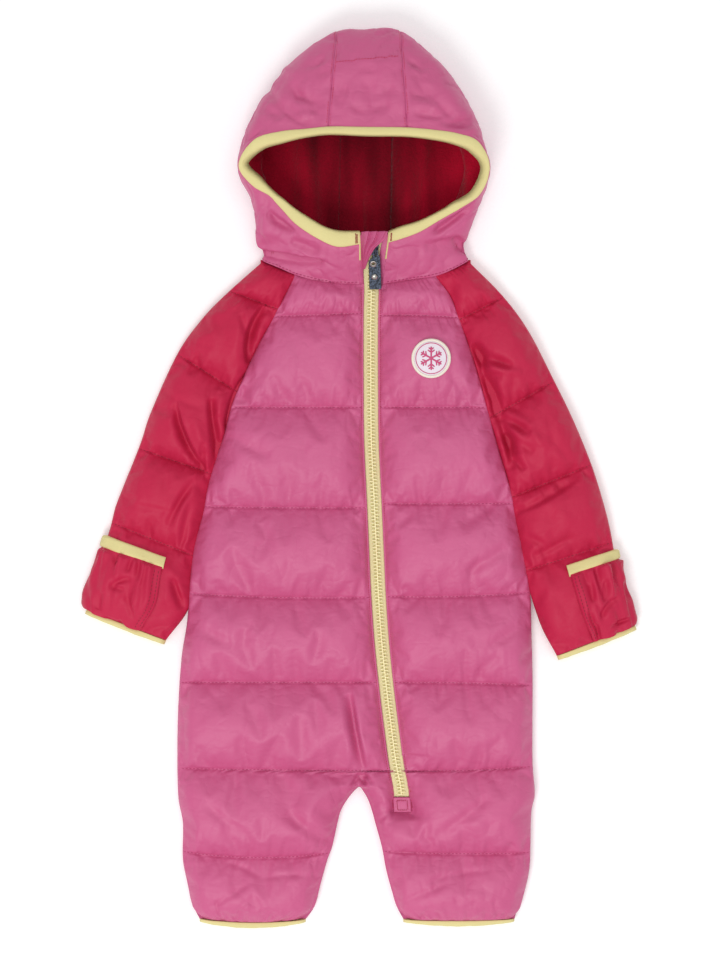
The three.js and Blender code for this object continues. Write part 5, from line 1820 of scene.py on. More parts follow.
    def out(self, ats: Grid, steps: Grid) -> Grid:
        """Returns the directions that the hood's outside faces.

        Args:
            ats: How far round each row lies, in ribs.
            steps: How far up each column lies.
        """
        last = len(self.ribs) - 1
        ahead = self.grid(np.minimum(ats + 0.1, last), steps) - self.grid(np.maximum(ats - 0.1, 0), steps)
        up = self.grid(ats, np.minimum(steps + 0.02, 1.25)) - self.grid(ats, np.maximum(steps - 0.02, 0))
        out = -np.cross(ahead, up)
        return out / np.maximum(np.linalg.norm(out, axis=2, keepdims=True), 1e-9)

    def dimples(self, grid: Grid, steps: Grid, seed: float) -> Grid:
        """Returns how far creases push the hood's outside in.

        Args:
            grid: Places on it.
            steps: How far up each column lies.
            seed: Which noise.
        """
        folds = creased(self.folds, grid[:, :, 0], grid[:, :, 1]) * np.clip(grid[:, :, 2] / 14, 0, 1)
        soft = wander_grid(grid, seed, 26.0) * 1.5
        slant = grid @ np.array([[0.8, 0.35, 0.2], [-0.6, 0.35, 0.2], [0.2, 0.2, 0.9]])
        soft += (1 - np.abs(wander_grid(slant, seed + 5, 15.0)) * 5).clip(0, 1) ** 2 * 1.0
        soft += (1 - np.abs(wander_grid(slant, seed + 11, 24.0)) * 6).clip(0, 1) * 0.6
        neck = np.exp(-(steps / 0.10) ** 2)[None, :] * wander_grid(grid, seed + 8, 6.0) * 1.0
        ends = np.clip(steps * 14, 0, 1)[None, :] * np.clip((1 - steps) * 14, 0, 1)[None, :]
        most = np.clip((grid[:, :, 2] - 9) * 0.5, 0, 6)
        return np.minimum(folds * 1.5 + soft, most) * ends + neck * np.clip(steps * 30, 0, 1)[None, :]

    def pushed(self, ats: Grid, steps: Grid) -> Grid:
        """Returns how far the hood's skin lies inside its plain shape, seams and creases together.

        Args:
            ats: How far round each row lies, in ribs.
            steps: How far up each column lies.
        """
        grid = self.grid(ats, steps)
        push = self.dimples(grid, steps, 3.7)
        for seam in self.panel:
            reach = np.linalg.norm(grid - self.grid(np.array([seam]), steps), axis=2)
            puckers = np.clip(wander_grid(grid * np.array([0.35, 1, 1]), 6.1, 7.0), -0.5, 1)
            push += 0.9 * np.exp(-((reach / 1.6) ** 2)) + np.exp(-((reach / 8) ** 2)) * puckers * 2.0
        return push

    def skin(self, ats: Grid, steps: Grid) -> Grid:
        """Returns places on the creased skin."""
        return self.grid(ats, steps) - self.out(ats, steps) * self.pushed(ats, steps)[:, :, None]

    def level(self, ats: Grid, heights: tuple[float, float]) -> tuple[Grid, Grid]:
        """Returns a line across the crown at given heights along the suit, and the way that it faces.

        Args:
            ats: How far round each place lies, in ribs.
            heights: The heights of its two ends.
        """
        steps = np.linspace(0.45, 1, 60)
        skin, out = self.skin(ats, steps), self.out(ats, steps)
        wanted = np.linspace(*heights, len(ats))
        chosen = np.abs(skin[:, :, 1] - wanted[:, None]).argmin(axis=1)
        rows = np.arange(len(ats))
        return skin[rows, chosen], out[rows, chosen]

    def dress(self) -> None:
        """Makes the hood's panels, lining and binding."""
        last = len(self.ribs) - 1
        panels = [
            ("side_right", 0, self.panel[0]), ("centre", *self.panel), ("side_left", self.panel[1], last)
        ]
        for name, low, high in panels:
            self.make_panel(name, low, high)
            self.make_lining(name, low, high)
        self.make_binding()

    def make_panel(self, name: str, low: float, high: float) -> None:
        """Makes one panel of the pink shell.

        Args:
            name: Which panel.
            low: The rib that it starts at.
            high: The rib that it ends at.
        """
        count = int((high - low) * (13 if name != "centre" else 22))
        inset = -0.004
        ats = np.linspace(low + (inset if low else 0), high - (inset if high < 25 else 0), count + 1)
        steps = spaced(70, 0.3) * 1.04
        grid, out = self.grid(ats, steps), self.out(ats, steps)
        push = self.pushed(ats, steps)
        give = np.maximum(push - self.wall + 0.9, 0)
        outer = grid - out * push[:, :, None]
        outer[:, :, 2] = np.maximum(outer[:, :, 2], 0)
        inner = grid - out * (self.wall + give)[:, :, None]
        inner[:, :, 2] = np.maximum(inner[:, :, 2], self.wall - 1)
        points, faces = shell(outer, inner)
        made = self.plan.piece(f"hood_panel_{name}", points, faces, self.finishes.pink)
        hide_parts(f"hood_{name}")

    def make_lining(self, name: str, low: float, high: float) -> None:
        """Makes one panel of the fleece lining.

        Args:
            name: Which panel.
            low: The rib that it starts at.
            high: The rib that it ends at.
        """
        count = int((high - low) * (9 if name != "centre" else 20))
        inset = 0.003
        ats = np.linspace(low + (inset if low else 0), high - (inset if high < 25 else 0), count + 1)
        steps = np.append(0.01, spaced(60, 0.2)[1:])
        grid, out = self.grid(ats, steps), self.out(ats, steps)
        give = np.maximum(self.pushed(ats, steps) - self.wall + 0.9, 0)
        depth = (self.wall + self.lining_gap + give)[:, :, None]
        face = grid - out * (depth + self.lining_wall)
        face[:, :, 2] = np.maximum(face[:, :, 2], self.wall - 1 + self.lining_gap + self.lining_wall)
        lean = grid * np.array([1.0, 0.16, 0.3])
        soft = wander_grid(lean, 12.3, 20.0) * 9.0 + wander_grid(lean, 18.3, 10.0) * 2.4
        soft += wander_grid(grid, 15.3, 3.4) * 0.35
        for seam in self.panel:
            reach = np.linalg.norm(grid - self.grid(np.array([seam]), steps), axis=2)
            soft -= 1.3 * np.exp(-((reach / 2.0) ** 2))
        corner = np.hypot(np.abs(grid[:, :, 0]) - 88, grid[:, :, 1] - 210)
        soft *= np.clip((1 - steps) * 10, 0, 1)[None, :] * np.clip((corner - 16) / 20, 0, 1)
        back = grid - out * depth
        back[:, :, 2] = np.maximum(back[:, :, 2], self.wall - 1 + self.lining_gap)
        face = face - out * np.maximum(soft, -self.lining_wall + 0.3)[:, :, None]
        tucked = np.sign(grid[:, :, 0]) * 7 * np.exp(-((corner / 14) ** 2))
        back[:, :, 0] -= tucked
        face[:, :, 0] -= tucked
        points, faces = shell(back, face)
        made = self.plan.piece(f"fleece_lining_{name}", points, faces, self.finishes.fleece)
        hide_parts(f"lining_{name}")
        across = run_of(face[:, 30])
        up = run_of(face[len(face) // 2])
        share = skin_area(face) / (across * up)
        flat = (across * MM, up * MM * max(1.0, share))
        area = min(flat[0] * flat[1], skin_area(face) * 1e-6)

    def make_binding(self) -> None:
        """Makes the binding round the hood's opening."""
        last = len(self.ribs) - 1
        ats = np.linspace(0, last, 420)
        steps = np.array([1.035, 1.045, 1.065, 1.09, 1.12, 1.155, 1.19, 1.225, 1.248])
        proud = np.array([-0.6, 0.5, 1.0, 1.3, 1.4, 1.4, 1.2, 0.7, -0.4])
        grid, out = self.grid(ats, steps), self.out(ats, steps)
        edge = self.out(ats, np.array([1.0]))
        arc = arc_of(grid[:, 4])
        fine = np.array([wander(s, 0, 51.0, 3.2) for s in arc])
        broad = np.array([wander(s, 0, 57.0, 14.0) for s in arc])
        rise = proud[None, :] + (
            fine[:, None] * 0.35 + broad[:, None] * 0.4
        ) * quarter(proud / 1.4)[None, :]
        depth = self.wall + self.lining_gap + self.lining_wall
        face = grid + out * rise[:, :, None]
        under = grid - edge * (depth + 0.1)
        points, faces = shell(face, under, [4])
        made = self.plan.piece("hood_edge_binding", points, faces, self.finishes.binding)
        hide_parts("hood_binding")
        wide = run_of(face[200]) + depth
        wide * MM


def skin_area(grid: Grid) -> float:
    """Returns the area of a grid of places.

    Args:
        grid: The places.
    """
    a = grid[1:, :-1] - grid[:-1, :-1]
    b = grid[:-1, 1:] - grid[:-1, :-1]
    c = grid[1:, :-1] - grid[1:, 1:]
    d = grid[:-1, 1:] - grid[1:, 1:]
    first = np.linalg.norm(np.cross(a, b), axis=2).sum()
    second = np.linalg.norm(np.cross(c, d), axis=2).sum()
    return float(first + second) / 2


# The zip


@dataclass
class Zip:
    """The tape, the moulded teeth, the slider's finish, the chin guard and the end tab."""

    plan: Plan
    finishes: Wardrobe
    tape_half: float = 6.8
    tape_wall: float = 1.6
    bottom: float = -286.5
    top: float = 217.0
    tab_bottom: float = -300.0
    stitch_top: float = 14.5
    pitch: float = 3.2
    tooth_long: float = 1.75
    tooth_reach: float = 3.5
    tooth_cross: float = 0.75
    tooth_high: float = 1.9

    level = Curve([
        (220, 39), (216, 37.6), (208, 34.2), (200, 29), (192, 23.5), (184, 17.9), (177, 13.8), (171, 12.5),
        (165, 12.2), (140, 12.2), (-301, 12.2),
    ])
    edges = [
        (217, 4.2, 26.2), (208, 4.4, 25.2), (200, 4.7, 23.9), (192, 4.9, 22.6), (184, 5.1, 21.3),
        (178, 5.4, 19.4), (172, 12.6 - 6.8, 12.6 + 6.8),
    ]
    guard = [
        (221, 3.4, 27.2, 5), (216, 3.4, 25.4, 7.4), (212, 3.5, 22.4, 9), (207, 3.7, 16.4, 8.6),
        (201, 4.0, 12.2, 6.8), (195, 4.4, 9.2, 4.2), (189, 4.8, 6.8, 2.2),
    ]
    flies = {
        Side.RIGHT: [(221, 4.6), (212, 4.6), (204, 4.9), (190, 5.3), (177, 5.7)],
        Side.LEFT: [(221, 25.6), (212, 21.8), (204, 20.2), (190, 19.2), (177, 19.0)],
    }

    def width_at(self, y: float) -> tuple[float, float]:
        """Returns the tape's left and right edges.

        Args:
            y: The height along the suit.
        """
        if y <= self.edges[-1][0]:
            middle = float(Outline.zip(y))
            return middle - self.tape_half, middle + self.tape_half
        left = Curve([(row[0], row[1]) for row in self.edges])
        right = Curve([(row[0], row[2]) for row in self.edges])
        return float(left(y)), float(right(y))

    def dress(self, hood: Hood) -> None:
        """Makes every part of the zip.

        Args:
            hood: The hood, which the zip runs up to.
        """
        self.make_tape()
        self.make_teeth()
        self.make_tab()
        self.make_guard()
        for side in Side:
            self.make_fly(side, hood, (0.02, 1.2), self.finishes.pink, "pink_shell")
            self.make_fly(side, hood, (0.7, 1.24), self.finishes.binding, "binding", 1.7)
        self.finish_metal()

    def make_fly(
        self, side: Side, hood: Hood, span: tuple[float, float], material: bpy.types.Material, slot: str,
        reach: float = 0.0,
    ) -> None:
        """Makes the turned edge that closes the hood's front end against the zip.

        Args:
            side: Which side of the zip.
            hood: The hood.
            span: How far up the hood's front end it runs.
            material: Its finish.
            slot: A word in its name.
            reach: Its width, if it stops short of the zip.
        """
        turn = 1 if side is Side.RIGHT else -1
        at = np.array([0.06 if side is Side.RIGHT else 24.94])
        steps = np.linspace(*span, 24)
        outer_edge, edge = hood.grid(at, steps)[0], Curve(self.flies[side])
        face, under = [], []
        for spot in outer_edge:
            near = spot[0] + turn * reach if reach else float(edge(spot[1]))
            shares = np.linspace(0, 1, 9)
            x = lerp(spot[0], near, shares)
            low = float(self.level(spot[1])) + 0.7
            drop = spot[2] - 0.4 if reach else low + 0.8
            z = lerp(spot[2] - 0.2, drop, shares) + (1.1 if reach else 0.4) * np.sin(np.pi * shares)
            face.append(row_at(x, spot[1], z))
            under.append(row_at(x, spot[1], np.minimum(z - 1, lerp(spot[2] - 3, low, shares))))
        points, faces = shell(np.array(face), np.array(under), [4])
        made = self.plan.piece(f"turned_edge_{slot}_{side.value}", points, faces, material)

    def make_tape(self) -> None:
        """Makes the woven tape with a raised cord beside the teeth."""
        us = np.linspace(0, 1, 17)
        off = np.abs(us - 0.5) * 2
        cord = 0.45 * np.exp(-(((off - 0.52) / 0.07) ** 2)) - 0.25 * (off > 0.9)
        face = []
        for y in np.append(np.linspace(self.top, 172, 40), np.linspace(171, self.bottom, 190)):
            left, right = self.width_at(float(y))
            z = float(self.level(y)) + cord
            face.append(row_at(lerp(left, right, us), y, z))
        grid = np.array(face)
        under = grid.copy()
        under[:, :, 2] = np.array([float(self.level(row[0][1])) for row in face])[:, None] - self.tape_wall
        points, faces = shell(grid, under, [8])
        made = self.plan.piece("zip_tape_woven", points, faces, self.finishes.tape)
        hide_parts("zip_tape")

    def make_teeth(self) -> None:
        """Makes the moulded teeth, which mesh down the middle of the tape."""
        points, faces = [], []
        profile = self.tooth_profile()
        y, index = 196.0, 0
        while y > self.bottom + 2:
            side = -1 if index % 2 == 0 else 1
            x, z = float(Outline.zip(y)), float(self.level(y)) + 0.3
            ahead = float(Outline.zip(y + 1)) - float(Outline.zip(y - 1))
            rise = (float(self.level(y + 1)) - float(self.level(y - 1))) / 2
            along = np.array([ahead / 2, 1.0, rise])
            along /= np.linalg.norm(along)
            across = np.array([1.0, -ahead / 2, 0.0])
            up = np.cross(across, along)
            up /= np.linalg.norm(up)
            start = len(points)
            for level, shrink in (
                (0.0, 0.25), (0.45, 0.0), (self.tooth_high - 0.45, 0.0), (self.tooth_high, 0.4)
            ):
                for px, py in profile:
                    sx = px - math.copysign(shrink, px - self.tooth_reach / 2 + 0.5)
                    sy = py * (1 - shrink)
                    spot = np.array([x, y, z]) + across * side * (
                        sx - self.tooth_cross
                    ) + along * sy + up * level
                    points.append(spot)
            n = len(profile)
            order = range(n) if side > 0 else range(n - 1, -1, -1)
            faces.append(tuple(start + 3 * n + k for k in order))
            faces.append(tuple(start + k for k in reversed(list(order))))
            for ring in range(3):
                for k in range(n):
                    a, b = start + ring * n + k, start + ring * n + (k + 1) % n
                    quad = (a, b, b + n, a + n)
                    faces.append(quad if side > 0 else quad[::-1])
            y -= self.pitch / 2 * 0.98
            index += 1
        made = self.plan.piece(
            "zip_teeth_moulded", np.array(points), faces, self.finishes.teeth, smooth=False
        )
        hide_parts("zip_chain")

    def tooth_profile(self) -> list[tuple[float, float]]:
        """Returns a tooth's outline: a narrow neck and a round head that crosses the middle."""
        half = self.tooth_long / 2
        reach = self.tooth_reach + self.tooth_cross
        return [
            (0.0, -half * 0.6), (0.35, -half), (1.1, -half), (1.5, -half * 0.62), (
                reach - 0.9, -half * 0.62
            ),
            (reach - 0.3, -half * 0.8), (reach, -half * 0.35), (reach, half * 0.35), (
                reach - 0.3, half * 0.8
            ),
            (reach - 0.9, half * 0.62), (1.5, half * 0.62), (1.1, half), (0.35, half), (0.0, half * 0.6),
        ]

    def make_tab(self) -> None:
        """Makes the folded tab below the zip."""
        us = np.linspace(0, 1, 13)
        face = []
        for f in np.linspace(0, 1, 15):
            y = lerp(self.bottom - 0.35, self.tab_bottom, f)
            middle = float(Outline.zip(y))
            rise = 1.1 * float(swell(f)) * swell(us)
            box = np.abs(np.abs(us - 0.5) - 0.34) < 0.05
            stitched = 0.35 * (box | (abs(abs(f - 0.5) - 0.34) < 0.06))
            half = self.tape_half + 1.1 * min(f * 12, 1)
            x = lerp(middle - half, middle + half, us)
            face.append(row_at(x, y, self.stitch_top - 0.2 + rise * 0.4 - stitched))
        grid = np.array(face)
        under = grid.copy()
        under[:, :, 2] = 10.0
        points, faces = shell(grid, under, [6])
        made = self.plan.piece("zip_tab_folded", points, faces, self.finishes.pink)
        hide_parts("zip_end_tab")

    def make_guard(self) -> None:
        """Makes the folded chin guard with its slanting pleats."""
        us = np.linspace(0, 1, 61)
        heights = np.linspace(221, 189, 56)
        left = Curve([(row[0], row[1]) for row in self.guard])
        right = Curve([(row[0], row[2]) for row in self.guard])
        lift = Curve([(row[0], row[3]) for row in self.guard])
        face, under = [], []
        for y in heights:
            a, b = float(left(y)), float(right(y))
            x = lerp(a, b, us)
            base = float(self.level(y)) + lerp(0.5, float(lift(y)), np.sqrt(us))
            turn = (us * 3.2 + (221 - y) * 0.014) % 1.0
            pleat = 4.2 * turn**0.8 * np.clip((1 - turn) / 0.16, 0, 1) * min((b - a) / 14, 1)
            z = base + 1.4 + 0.7 * np.sin(np.pi * us) + pleat * np.minimum(np.minimum(us, 1 - us) * 8, 1)
            face.append(row_at(x, y, z))
            under.append(row_at(x, y, base))
        points, faces = shell(np.array(face), np.array(under), [30])
        made = self.plan.piece("chin_guard_folded", points, faces, self.finishes.pink)
        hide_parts("chin_guard")

    def finish_metal(self) -> None:
        """Gives the slider, its pull, eyelet and stud their finishes."""
        finishes = {
            "zip_slider": self.finishes.steel, "zip_pull": self.finishes.pull,
            "pull_eyelet": self.finishes.silver, "pull_stud": self.finishes.silver,
        }
        for node, finish in finishes.items():
            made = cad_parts[node]
            made.data.materials.clear()
            made.data.materials.append(finish)


# The badge


@dataclass
class Badge:
    """A round badge with a plain rim and a six-armed snowflake."""

    plan: Plan
    finishes: Wardrobe
    body: Body
    x: float = Plan.badge[0]
    y: float = Plan.badge[1]
    radius: float = 17.7
    rim: float = 2.4
    wall: float = 1.5
    arm: float = 10.2
    top: float = 0.0
    sag: float = 0.0

    def surface(self, x: float, y: float) -> float:
        """Returns the height of the disc's face."""
        return self.top + self.sag * (1 - ((x - self.x) ** 2 + (y - self.y) ** 2) / self.radius**2)

    def dress(self) -> None:
        """Makes the disc, the rim, the snowflake and the ring of stitches."""
        around = [
            self.body.height(
                Side.LEFT, self.x + self.radius * math.cos(a), self.y + self.radius * math.sin(a)
            )
            for a in np.linspace(0, 2 * math.pi, 16, endpoint=False)
        ]
        self.top = float(np.mean(around)) + 0.6
        self.sag = max(self.body.height(Side.LEFT, self.x, self.y) - float(np.mean(around)), 0.0) + 0.4
        disc, faces = self.round_plate(self.radius - self.rim + 0.4, self.wall, 0.0)
        made = self.plan.piece("badge_disc", disc, faces, self.finishes.badge_white)
        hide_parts("badge")
        self.make_rim()
        self.make_flake()

    def round_plate(self, radius: float, wall: float, lift: float) -> tuple[Grid, list]:
        """Returns a domed plate.

        Args:
            radius: Its radius.
            wall: Its thickness.
            lift: How far it stands off the badge's face.
        """
        points, faces = [], []
        rings, around = 8, 64
        for level in (0, 1):
            points.append((self.x, self.y, self.surface(self.x, self.y) + lift + wall * level))
            for k in range(1, rings + 1):
                for j in range(around):
                    a = 2 * math.pi * j / around
                    r = radius * k / rings
                    x, y = self.x + r * math.cos(a), self.y + r * math.sin(a)
                    points.append((x, y, self.surface(x, y) + lift + wall * level))
        size = 1 + rings * around
        for level, turn in ((0, -1), (1, 1)):
            start = size * level
            for j in range(around):
                n = (j + 1) % around
                faces.append((start, start + 1 + j, start + 1 + n)[::turn])
                for k in range(rings - 1):
                    a, b = start + 1 + k * around + j, start + 1 + k * around + n
                    faces.append((a, a + around, b + around, b)[::turn])
        rim = 1 + (rings - 1) * around
        for j in range(around):
            n = (j + 1) % around
            faces.append((rim + j, rim + n, size + rim + n, size + rim + j))
        return np.array(points), faces

    def make_rim(self) -> None:
        """Makes the overlocked rim, ribbed by its stitches."""
        around = 240
        outer, inner = [], []
        for k in np.linspace(0, 1, 7):
            r = lerp(self.radius - self.rim, self.radius, k)
            ring, base = [], []
            for j in range(around):
                a = 2 * math.pi * j / around
                x, y = self.x + r * math.cos(a), self.y + r * math.sin(a)
                rib = 0.16 * math.cos(a * 80 + k * 2.2)
                rise = self.wall + 0.75 * math.sin(math.pi * min(max(k, 0.04), 0.96)) + rib
                ring.append((x, y, self.surface(x, y) + rise))
                base.append((x, y, self.surface(x, y) - 0.2))
            outer.append(ring)
            inner.append(base)
        points, faces = shell(np.array(outer), np.array(inner), None, True)
        made = self.plan.piece("badge_overlocked_rim", points, faces, self.finishes.badge_cream)
        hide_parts("badge_rim")

    def make_flake(self) -> None:
        """Makes the raised snowflake and a thin circle round it."""
        bars: list[tuple[float, float, float, float, float]] = []
        for k in range(6):
            a = math.pi / 2 + k * math.pi / 3
            c, s = math.cos(a), math.sin(a)
            bars.append((0, 0, self.arm * c, self.arm * s, 0.85))
            for share, length in ((0.5, 3.6), (0.76, 2.6)):
                for turn in (-1, 1):
                    b = a + turn * math.radians(52)
                    x, y = self.arm * share * c, self.arm * share * s
                    bars.append((x, y, x + length * math.cos(b), y + length * math.sin(b), 0.65))
        for j in range(72):
            a, b = 2 * math.pi * j / 72, 2 * math.pi * (j + 0.8) / 72
            r = self.radius - self.rim - 1.5
            bars.append((r * math.cos(a), r * math.sin(a), r * math.cos(b), r * math.sin(b), 0.45))
        points: list = []
        faces: list = []
        for x1, y1, x2, y2, half in bars:
            self.add_bar(points, faces, (x1, y1), (x2, y2), half)
        made = self.plan.piece("badge_snowflake", np.array(points), faces, self.finishes.badge_pink)

    def add_bar(
        self, points: list, faces: list, a: tuple[float, float], b: tuple[float, float], half: float,
    ) -> None:
        """Adds one satin-stitched bar with rounded ends.

        Args:
            points: Where its places are added.
            faces: Where its faces are added.
            a: One end, from the badge's middle.
            b: The other end.
            half: Half its width.
        """
        length = math.hypot(b[0] - a[0], b[1] - a[1])
        dx, dy = (b[0] - a[0]) / length, (b[1] - a[1]) / length
        start = len(points)
        for t, wide in ((-0.4, 0.35), (0.0, 0.85), (0.5, 1.0), (1.0, 0.85), (1.0 + 0.4 / length, 0.35)):
            along = t * length if t >= 0 else -half * 0.6
            for side, rise in ((-1, 0.05), (-0.6, 0.4), (0, 0.55), (0.6, 0.4), (1, 0.05), (0, -0.3)):
                x = self.x + a[0] + dx * along - dy * side * half * wide
                y = self.y + a[1] + dy * along + dx * side * half * wide
                points.append((x, y, self.surface(x, y) + self.wall + rise * wide))
        for ring in range(4):
            for k in range(6):
                n = (k + 1) % 6
                p, q = start + ring * 6 + k, start + ring * 6 + n
                faces.append((p, p + 6, q + 6, q))
        faces.append(tuple(start + k for k in range(6)))
        faces.append(tuple(start + 24 + k for k in range(5, -1, -1)))


# Stitching


@dataclass
class Stitches:
    """Rows of separate stitches, gathered into one piece for each thread."""

    plan: Plan
    length: float = 2.5
    gap: float = 0.9
    radius: float = 0.3
    points: dict = field(default_factory=dict)
    faces: dict = field(default_factory=dict)

    def sew(
        self, thread: str, path: Grid, up: Grid | None = None, lift: float = 0.12,
        length: float | None = None, gap: float | None = None,
    ) -> None:
        """Adds stitches along a path.

        Args:
            thread: Which thread.
            path: Places along it.
            up: The way the cloth faces at each place, if not straight up.
            lift: How far the stitches stand off the cloth.
            length: The length of a stitch, if not as usual.
            gap: The space between stitches, if not as usual.
        """
        length, gap = length or self.length, self.gap if gap is None else gap
        up = np.tile([0.0, 0.0, 1.0], (len(path), 1)) if up is None else up
        run = arc_of(path)
        points, faces = self.points.setdefault(thread, []), self.faces.setdefault(thread, [])
        at = 0.2
        while at + length < run[-1]:
            mids = np.array(
                [np.interp([at, at + length / 2, at + length], run, path[:, k]) for k in range(3)]
            ).T
            out = np.array([np.interp([at + length / 2], run, up[:, k])[0] for k in range(3)])
            out /= max(np.linalg.norm(out), 1e-9)
            way = mids[2] - mids[0]
            way /= max(np.linalg.norm(way), 1e-9)
            side = np.cross(way, out)
            start = len(points)
            for share, wide, rise in (
                (0.0, 0.35, -0.25), (0.25, 1.0, 0.1), (0.75, 1.0, 0.1), (1.0, 0.35, -0.25)
            ):
                middle = mids[0] + (mids[2] - mids[0]) * share + out * (lift + rise)
                for k in range(6):
                    a = 2 * math.pi * k / 6
                    points.append(middle + (side * math.cos(a) + out * math.sin(a)) * self.radius * wide)
            for ring in range(3):
                for k in range(6):
                    p, q = start + ring * 6 + k, start + ring * 6 + (k + 1) % 6
                    faces.append((p, q, q + 6, p + 6))
            faces.append(tuple(start + k for k in range(5, -1, -1)))
            faces.append(tuple(start + 18 + k for k in range(6)))
            at += length + gap

    def finish(self, threads: dict[str, tuple[bpy.types.Material, str]]) -> None:
        """Makes one piece for each thread.

        Args:
            threads: The finish of each thread, and a slot name that is not used.
        """
        for thread, (material, slot) in threads.items():
            if thread in self.points:
                made = self.plan.piece(
                    f"stitching_{thread}", np.array(self.points[thread]), self.faces[thread], material
                )


@dataclass
class Seams:
    """Every visible line of stitching on the suit."""

    stitches: Stitches
    body: Body
    sleeves: Sleeves
    hood: Hood
    beside_zip: float = 8.5
    facing_span: tuple[float, float] = (174.0, -298.0)
    seam_apart: float = 1.6
    crown_heights: tuple[float, float] = (370.5, 376.8)
    bars: tuple[float, ...] = (0.13, 0.17, 0.21, 24.76, 24.8, 24.84)
    tab_half: float = 4.6
    tab_heights: tuple[float, float] = (-289.5, -298.2)
    tab_level: float = 14.7

    def sew_body(self) -> None:
        """Sews the fronts' quilting and the rows beside the zip."""
        for side in Side:
            for row in self.body.lines_at[side][1:-1]:
                line = self.body.grids[side][row, 2:-1]
                if side is Side.LEFT and line[0][1] < Outline.shift_top:
                    off = line[:, 0] - Outline.zip(line[:, 1])
                    self.stitches.sew("pink", line[off < -self.beside_zip], None, 0.1)
                    line = line[off > self.beside_zip]
                self.stitches.sew("pink", line, None, 0.1)
            heights = np.linspace(*self.facing_span, 240)
            off = (-1 if side is Side.RIGHT else 1) * self.beside_zip
            level = np.full_like(heights, self.body.stitch_top)
            edge = np.stack([Outline.zip(heights) + off, heights, level], axis=-1)
            self.stitches.sew("facing", edge, None, 0.15, 1.6, 0.5)

    def sew_sleeves(self) -> None:
        """Sews the sleeves' quilting and the seams of the mitten flaps."""
        for side in Side:
            sleeve = self.sleeves.grids[side]
            fold = sleeve.shape[1] - 2 * self.sleeves.under_columns - 1
            for row in self.sleeves.marks[side][1:-1]:
                self.stitches.sew("red", sleeve[row, 1:fold], None, 0.1)
            for seam in self.sleeves.seams[side]:
                self.stitches.sew("red", seam, None, 0.15)

    def sew_hood(self) -> None:
        """Sews the panel seams, the line across the crown, the neck seam and the bars beside the zip."""
        sew, hood = self.stitches.sew, self.hood
        steps = np.linspace(0.03, 1.0, 90)
        for seam in hood.panel:
            at = np.array([seam])
            skin, out = hood.skin(at, steps)[0], hood.out(at, steps)[0]
            ahead = hood.grid(at + 0.2, steps)[0] - hood.grid(at, steps)[0]
            ahead /= np.linalg.norm(ahead, axis=1, keepdims=True)
            for off in (-self.seam_apart, self.seam_apart):
                sew("seam", skin + ahead * off, out, 0.3, 1.9, 0.7)
        across = np.linspace(hood.panel[0] + 0.06, hood.panel[1] - 0.06, 40)
        sew("seam", *hood.level(across, self.crown_heights), 0.3, 1.9, 0.7)
        ats, low = np.linspace(0.1, 24.9, 400), np.array([0.045])
        sew("neck", hood.skin(ats, low)[:, 0], hood.out(ats, low)[:, 0], 0.3)
        steps = np.linspace(1.06, 1.235, 12)
        for bar in self.bars:
            at = np.array([bar])
            spots, out = hood.grid(at, steps)[0], hood.out(at, steps)[0]
            sew("bar", spots + out * 1.3, out, 0.3, 1.1, 0.1)

    def sew_tab(self) -> None:
        """Sews a box on the zip's end tab."""
        for off in (-self.tab_half, self.tab_half):
            heights = np.linspace(*self.tab_heights, 8)
            level = np.full_like(heights, self.tab_level)
            line = np.stack([Outline.zip(heights) + off, heights, level], axis=-1)
            self.stitches.sew("facing", line, None, 0.25, 1.3, 0.4)
        across = np.linspace(-self.tab_half, self.tab_half, 8)
        for height in self.tab_heights:
            line = row_at(float(Outline.zip(height)) + across, height, self.tab_level)
            self.stitches.sew("facing", line, None, 0.25, 1.3, 0.4)


# The studio


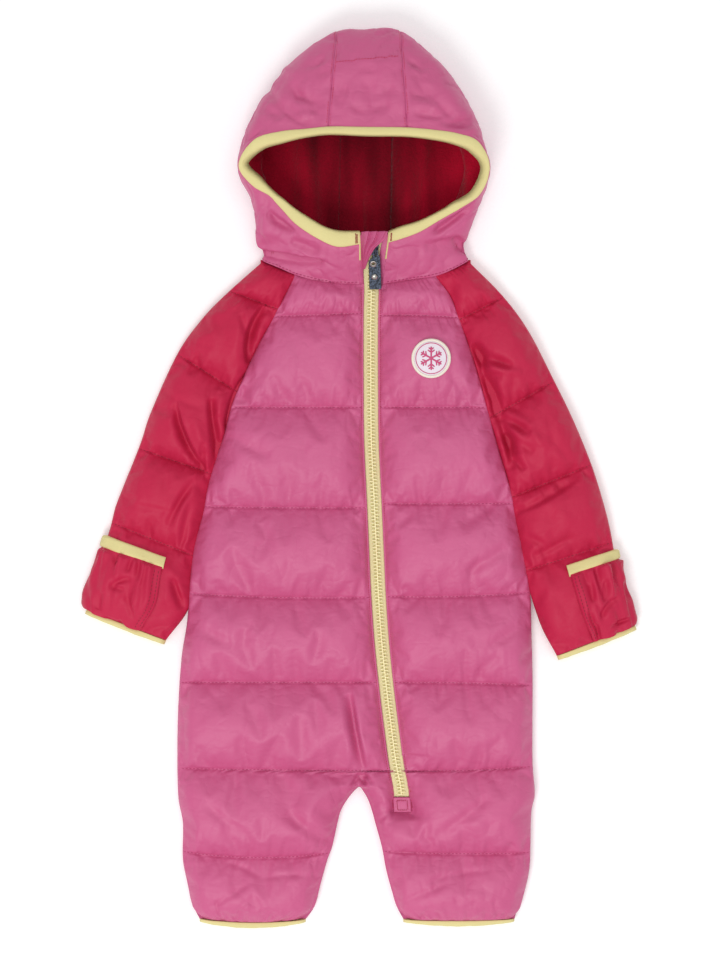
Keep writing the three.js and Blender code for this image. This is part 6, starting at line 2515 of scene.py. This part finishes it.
class Studio:
    """The floor, the lights and the camera straight above the suit."""

    def build(self, plan: Plan) -> None:
        """Adds the floor, the lights and the camera.

        Args:
            plan: The suit's place.
        """
        self.add_floor()
        self.add_light("key", (-0.5, -1.3, 2.0), (0, 0, 0), 0.8, 21)
        self.add_light("fill", (0.2, 0.5, 2.3), (0, 0, 0), 1.4, 11)
        world = bpy.data.worlds.new("studio_air")
        world.use_nodes = True
        world.node_tree.nodes["Background"].inputs["Color"].default_value = (1, 1, 1, 1)
        world.node_tree.nodes["Background"].inputs["Strength"].default_value = 0.60
        bpy.context.scene.world = world
        bpy.context.scene.view_settings.view_transform = "Standard"
        self.add_camera(plan)

    @staticmethod
    def add_floor() -> None:
        """Adds the floor."""
        half = 3.0
        mesh = bpy.data.meshes.new("floor")
        mesh.from_pydata(
            [(-half, -half, 0), (half, -half, 0), (half, half, 0), (-half, half, 0)], [], [(0, 1, 2, 3)]
        )
        mesh.materials.append(Floor().material())
        made = bpy.data.objects.new("floor", mesh)
        made.location.z = -0.0004
        bpy.context.scene.collection.objects.link(made)

    @staticmethod
    def add_light(
        name: str, place: tuple[float, float, float], aim: tuple[float, float, float], size: float,
        power: float,
    ) -> None:
        """Adds one square soft light.

        Args:
            name: Its name.
            place: Where it stands.
            aim: What it points at.
            size: The length of its sides.
            power: Its power in watts.
        """
        lamp = bpy.data.lights.new(name, "AREA")
        lamp.energy = power
        lamp.size = size
        made = bpy.data.objects.new(name, lamp)
        made.location = place
        made.rotation_euler = (Vector(aim) - Vector(place)).to_track_quat("-Z", "Y").to_euler()
        bpy.context.scene.collection.objects.link(made)

    @staticmethod
    def add_camera(plan: Plan) -> None:
        """Adds the camera, whose picture is 648 by 864 mm at the suit's middle height.

        Args:
            plan: The suit's place.
        """
        lens, sensor, tall, level = 100.0, 36.0, 0.864, 0.020
        camera = bpy.data.cameras.new("camera")
        camera.lens = lens
        camera.sensor_fit = "VERTICAL"
        camera.sensor_height = sensor
        camera.clip_end = 20
        made = bpy.data.objects.new("camera", camera)
        middle = plan.place(np.array([2.25, -0.45, 0.0]))
        made.location = (middle[0], middle[1], level + tall * lens / sensor)
        bpy.context.scene.collection.objects.link(made)
        bpy.context.scene.camera = made


def main() -> None:
    """Builds the suit in order."""
    plan = Plan()
    finishes = Wardrobe()
    Studio().build(plan)
    slack = Slack(growth=0.035, pressure=1.0, bending=6.0, cap=5.0)
    body = Body(plan, finishes, slack)
    sleeves = Sleeves(plan, finishes, slack)
    body.hang()
    sleeves.hang()
    settled = slack.settle()
    body.dress(settled)
    sleeves.dress(settled)
    for binding in edge_bindings():
        binding.make(plan, finishes.binding)
    hood = Hood(plan, finishes)
    hood.dress()
    Zip(plan, finishes).dress(hood)
    Badge(plan, finishes, body).dress()
    stitches = Stitches(plan)
    seams = Seams(stitches, body, sleeves, hood)
    seams.sew_body()
    seams.sew_sleeves()
    seams.sew_hood()
    seams.sew_tab()
    stitches.finish({
        "pink": (finishes.pink_thread, "pink_shell"),
        "red": (finishes.red_thread, "red_shell"),
        "facing": (finishes.facing_thread, "pink_shell"),
        "seam": (finishes.seam_thread, "pink_shell"),
        "neck": (finishes.pink_thread, "pink_shell"),
        "bar": (finishes.bar_thread, "binding"),
    })


if __name__ == "__main__":
    main()
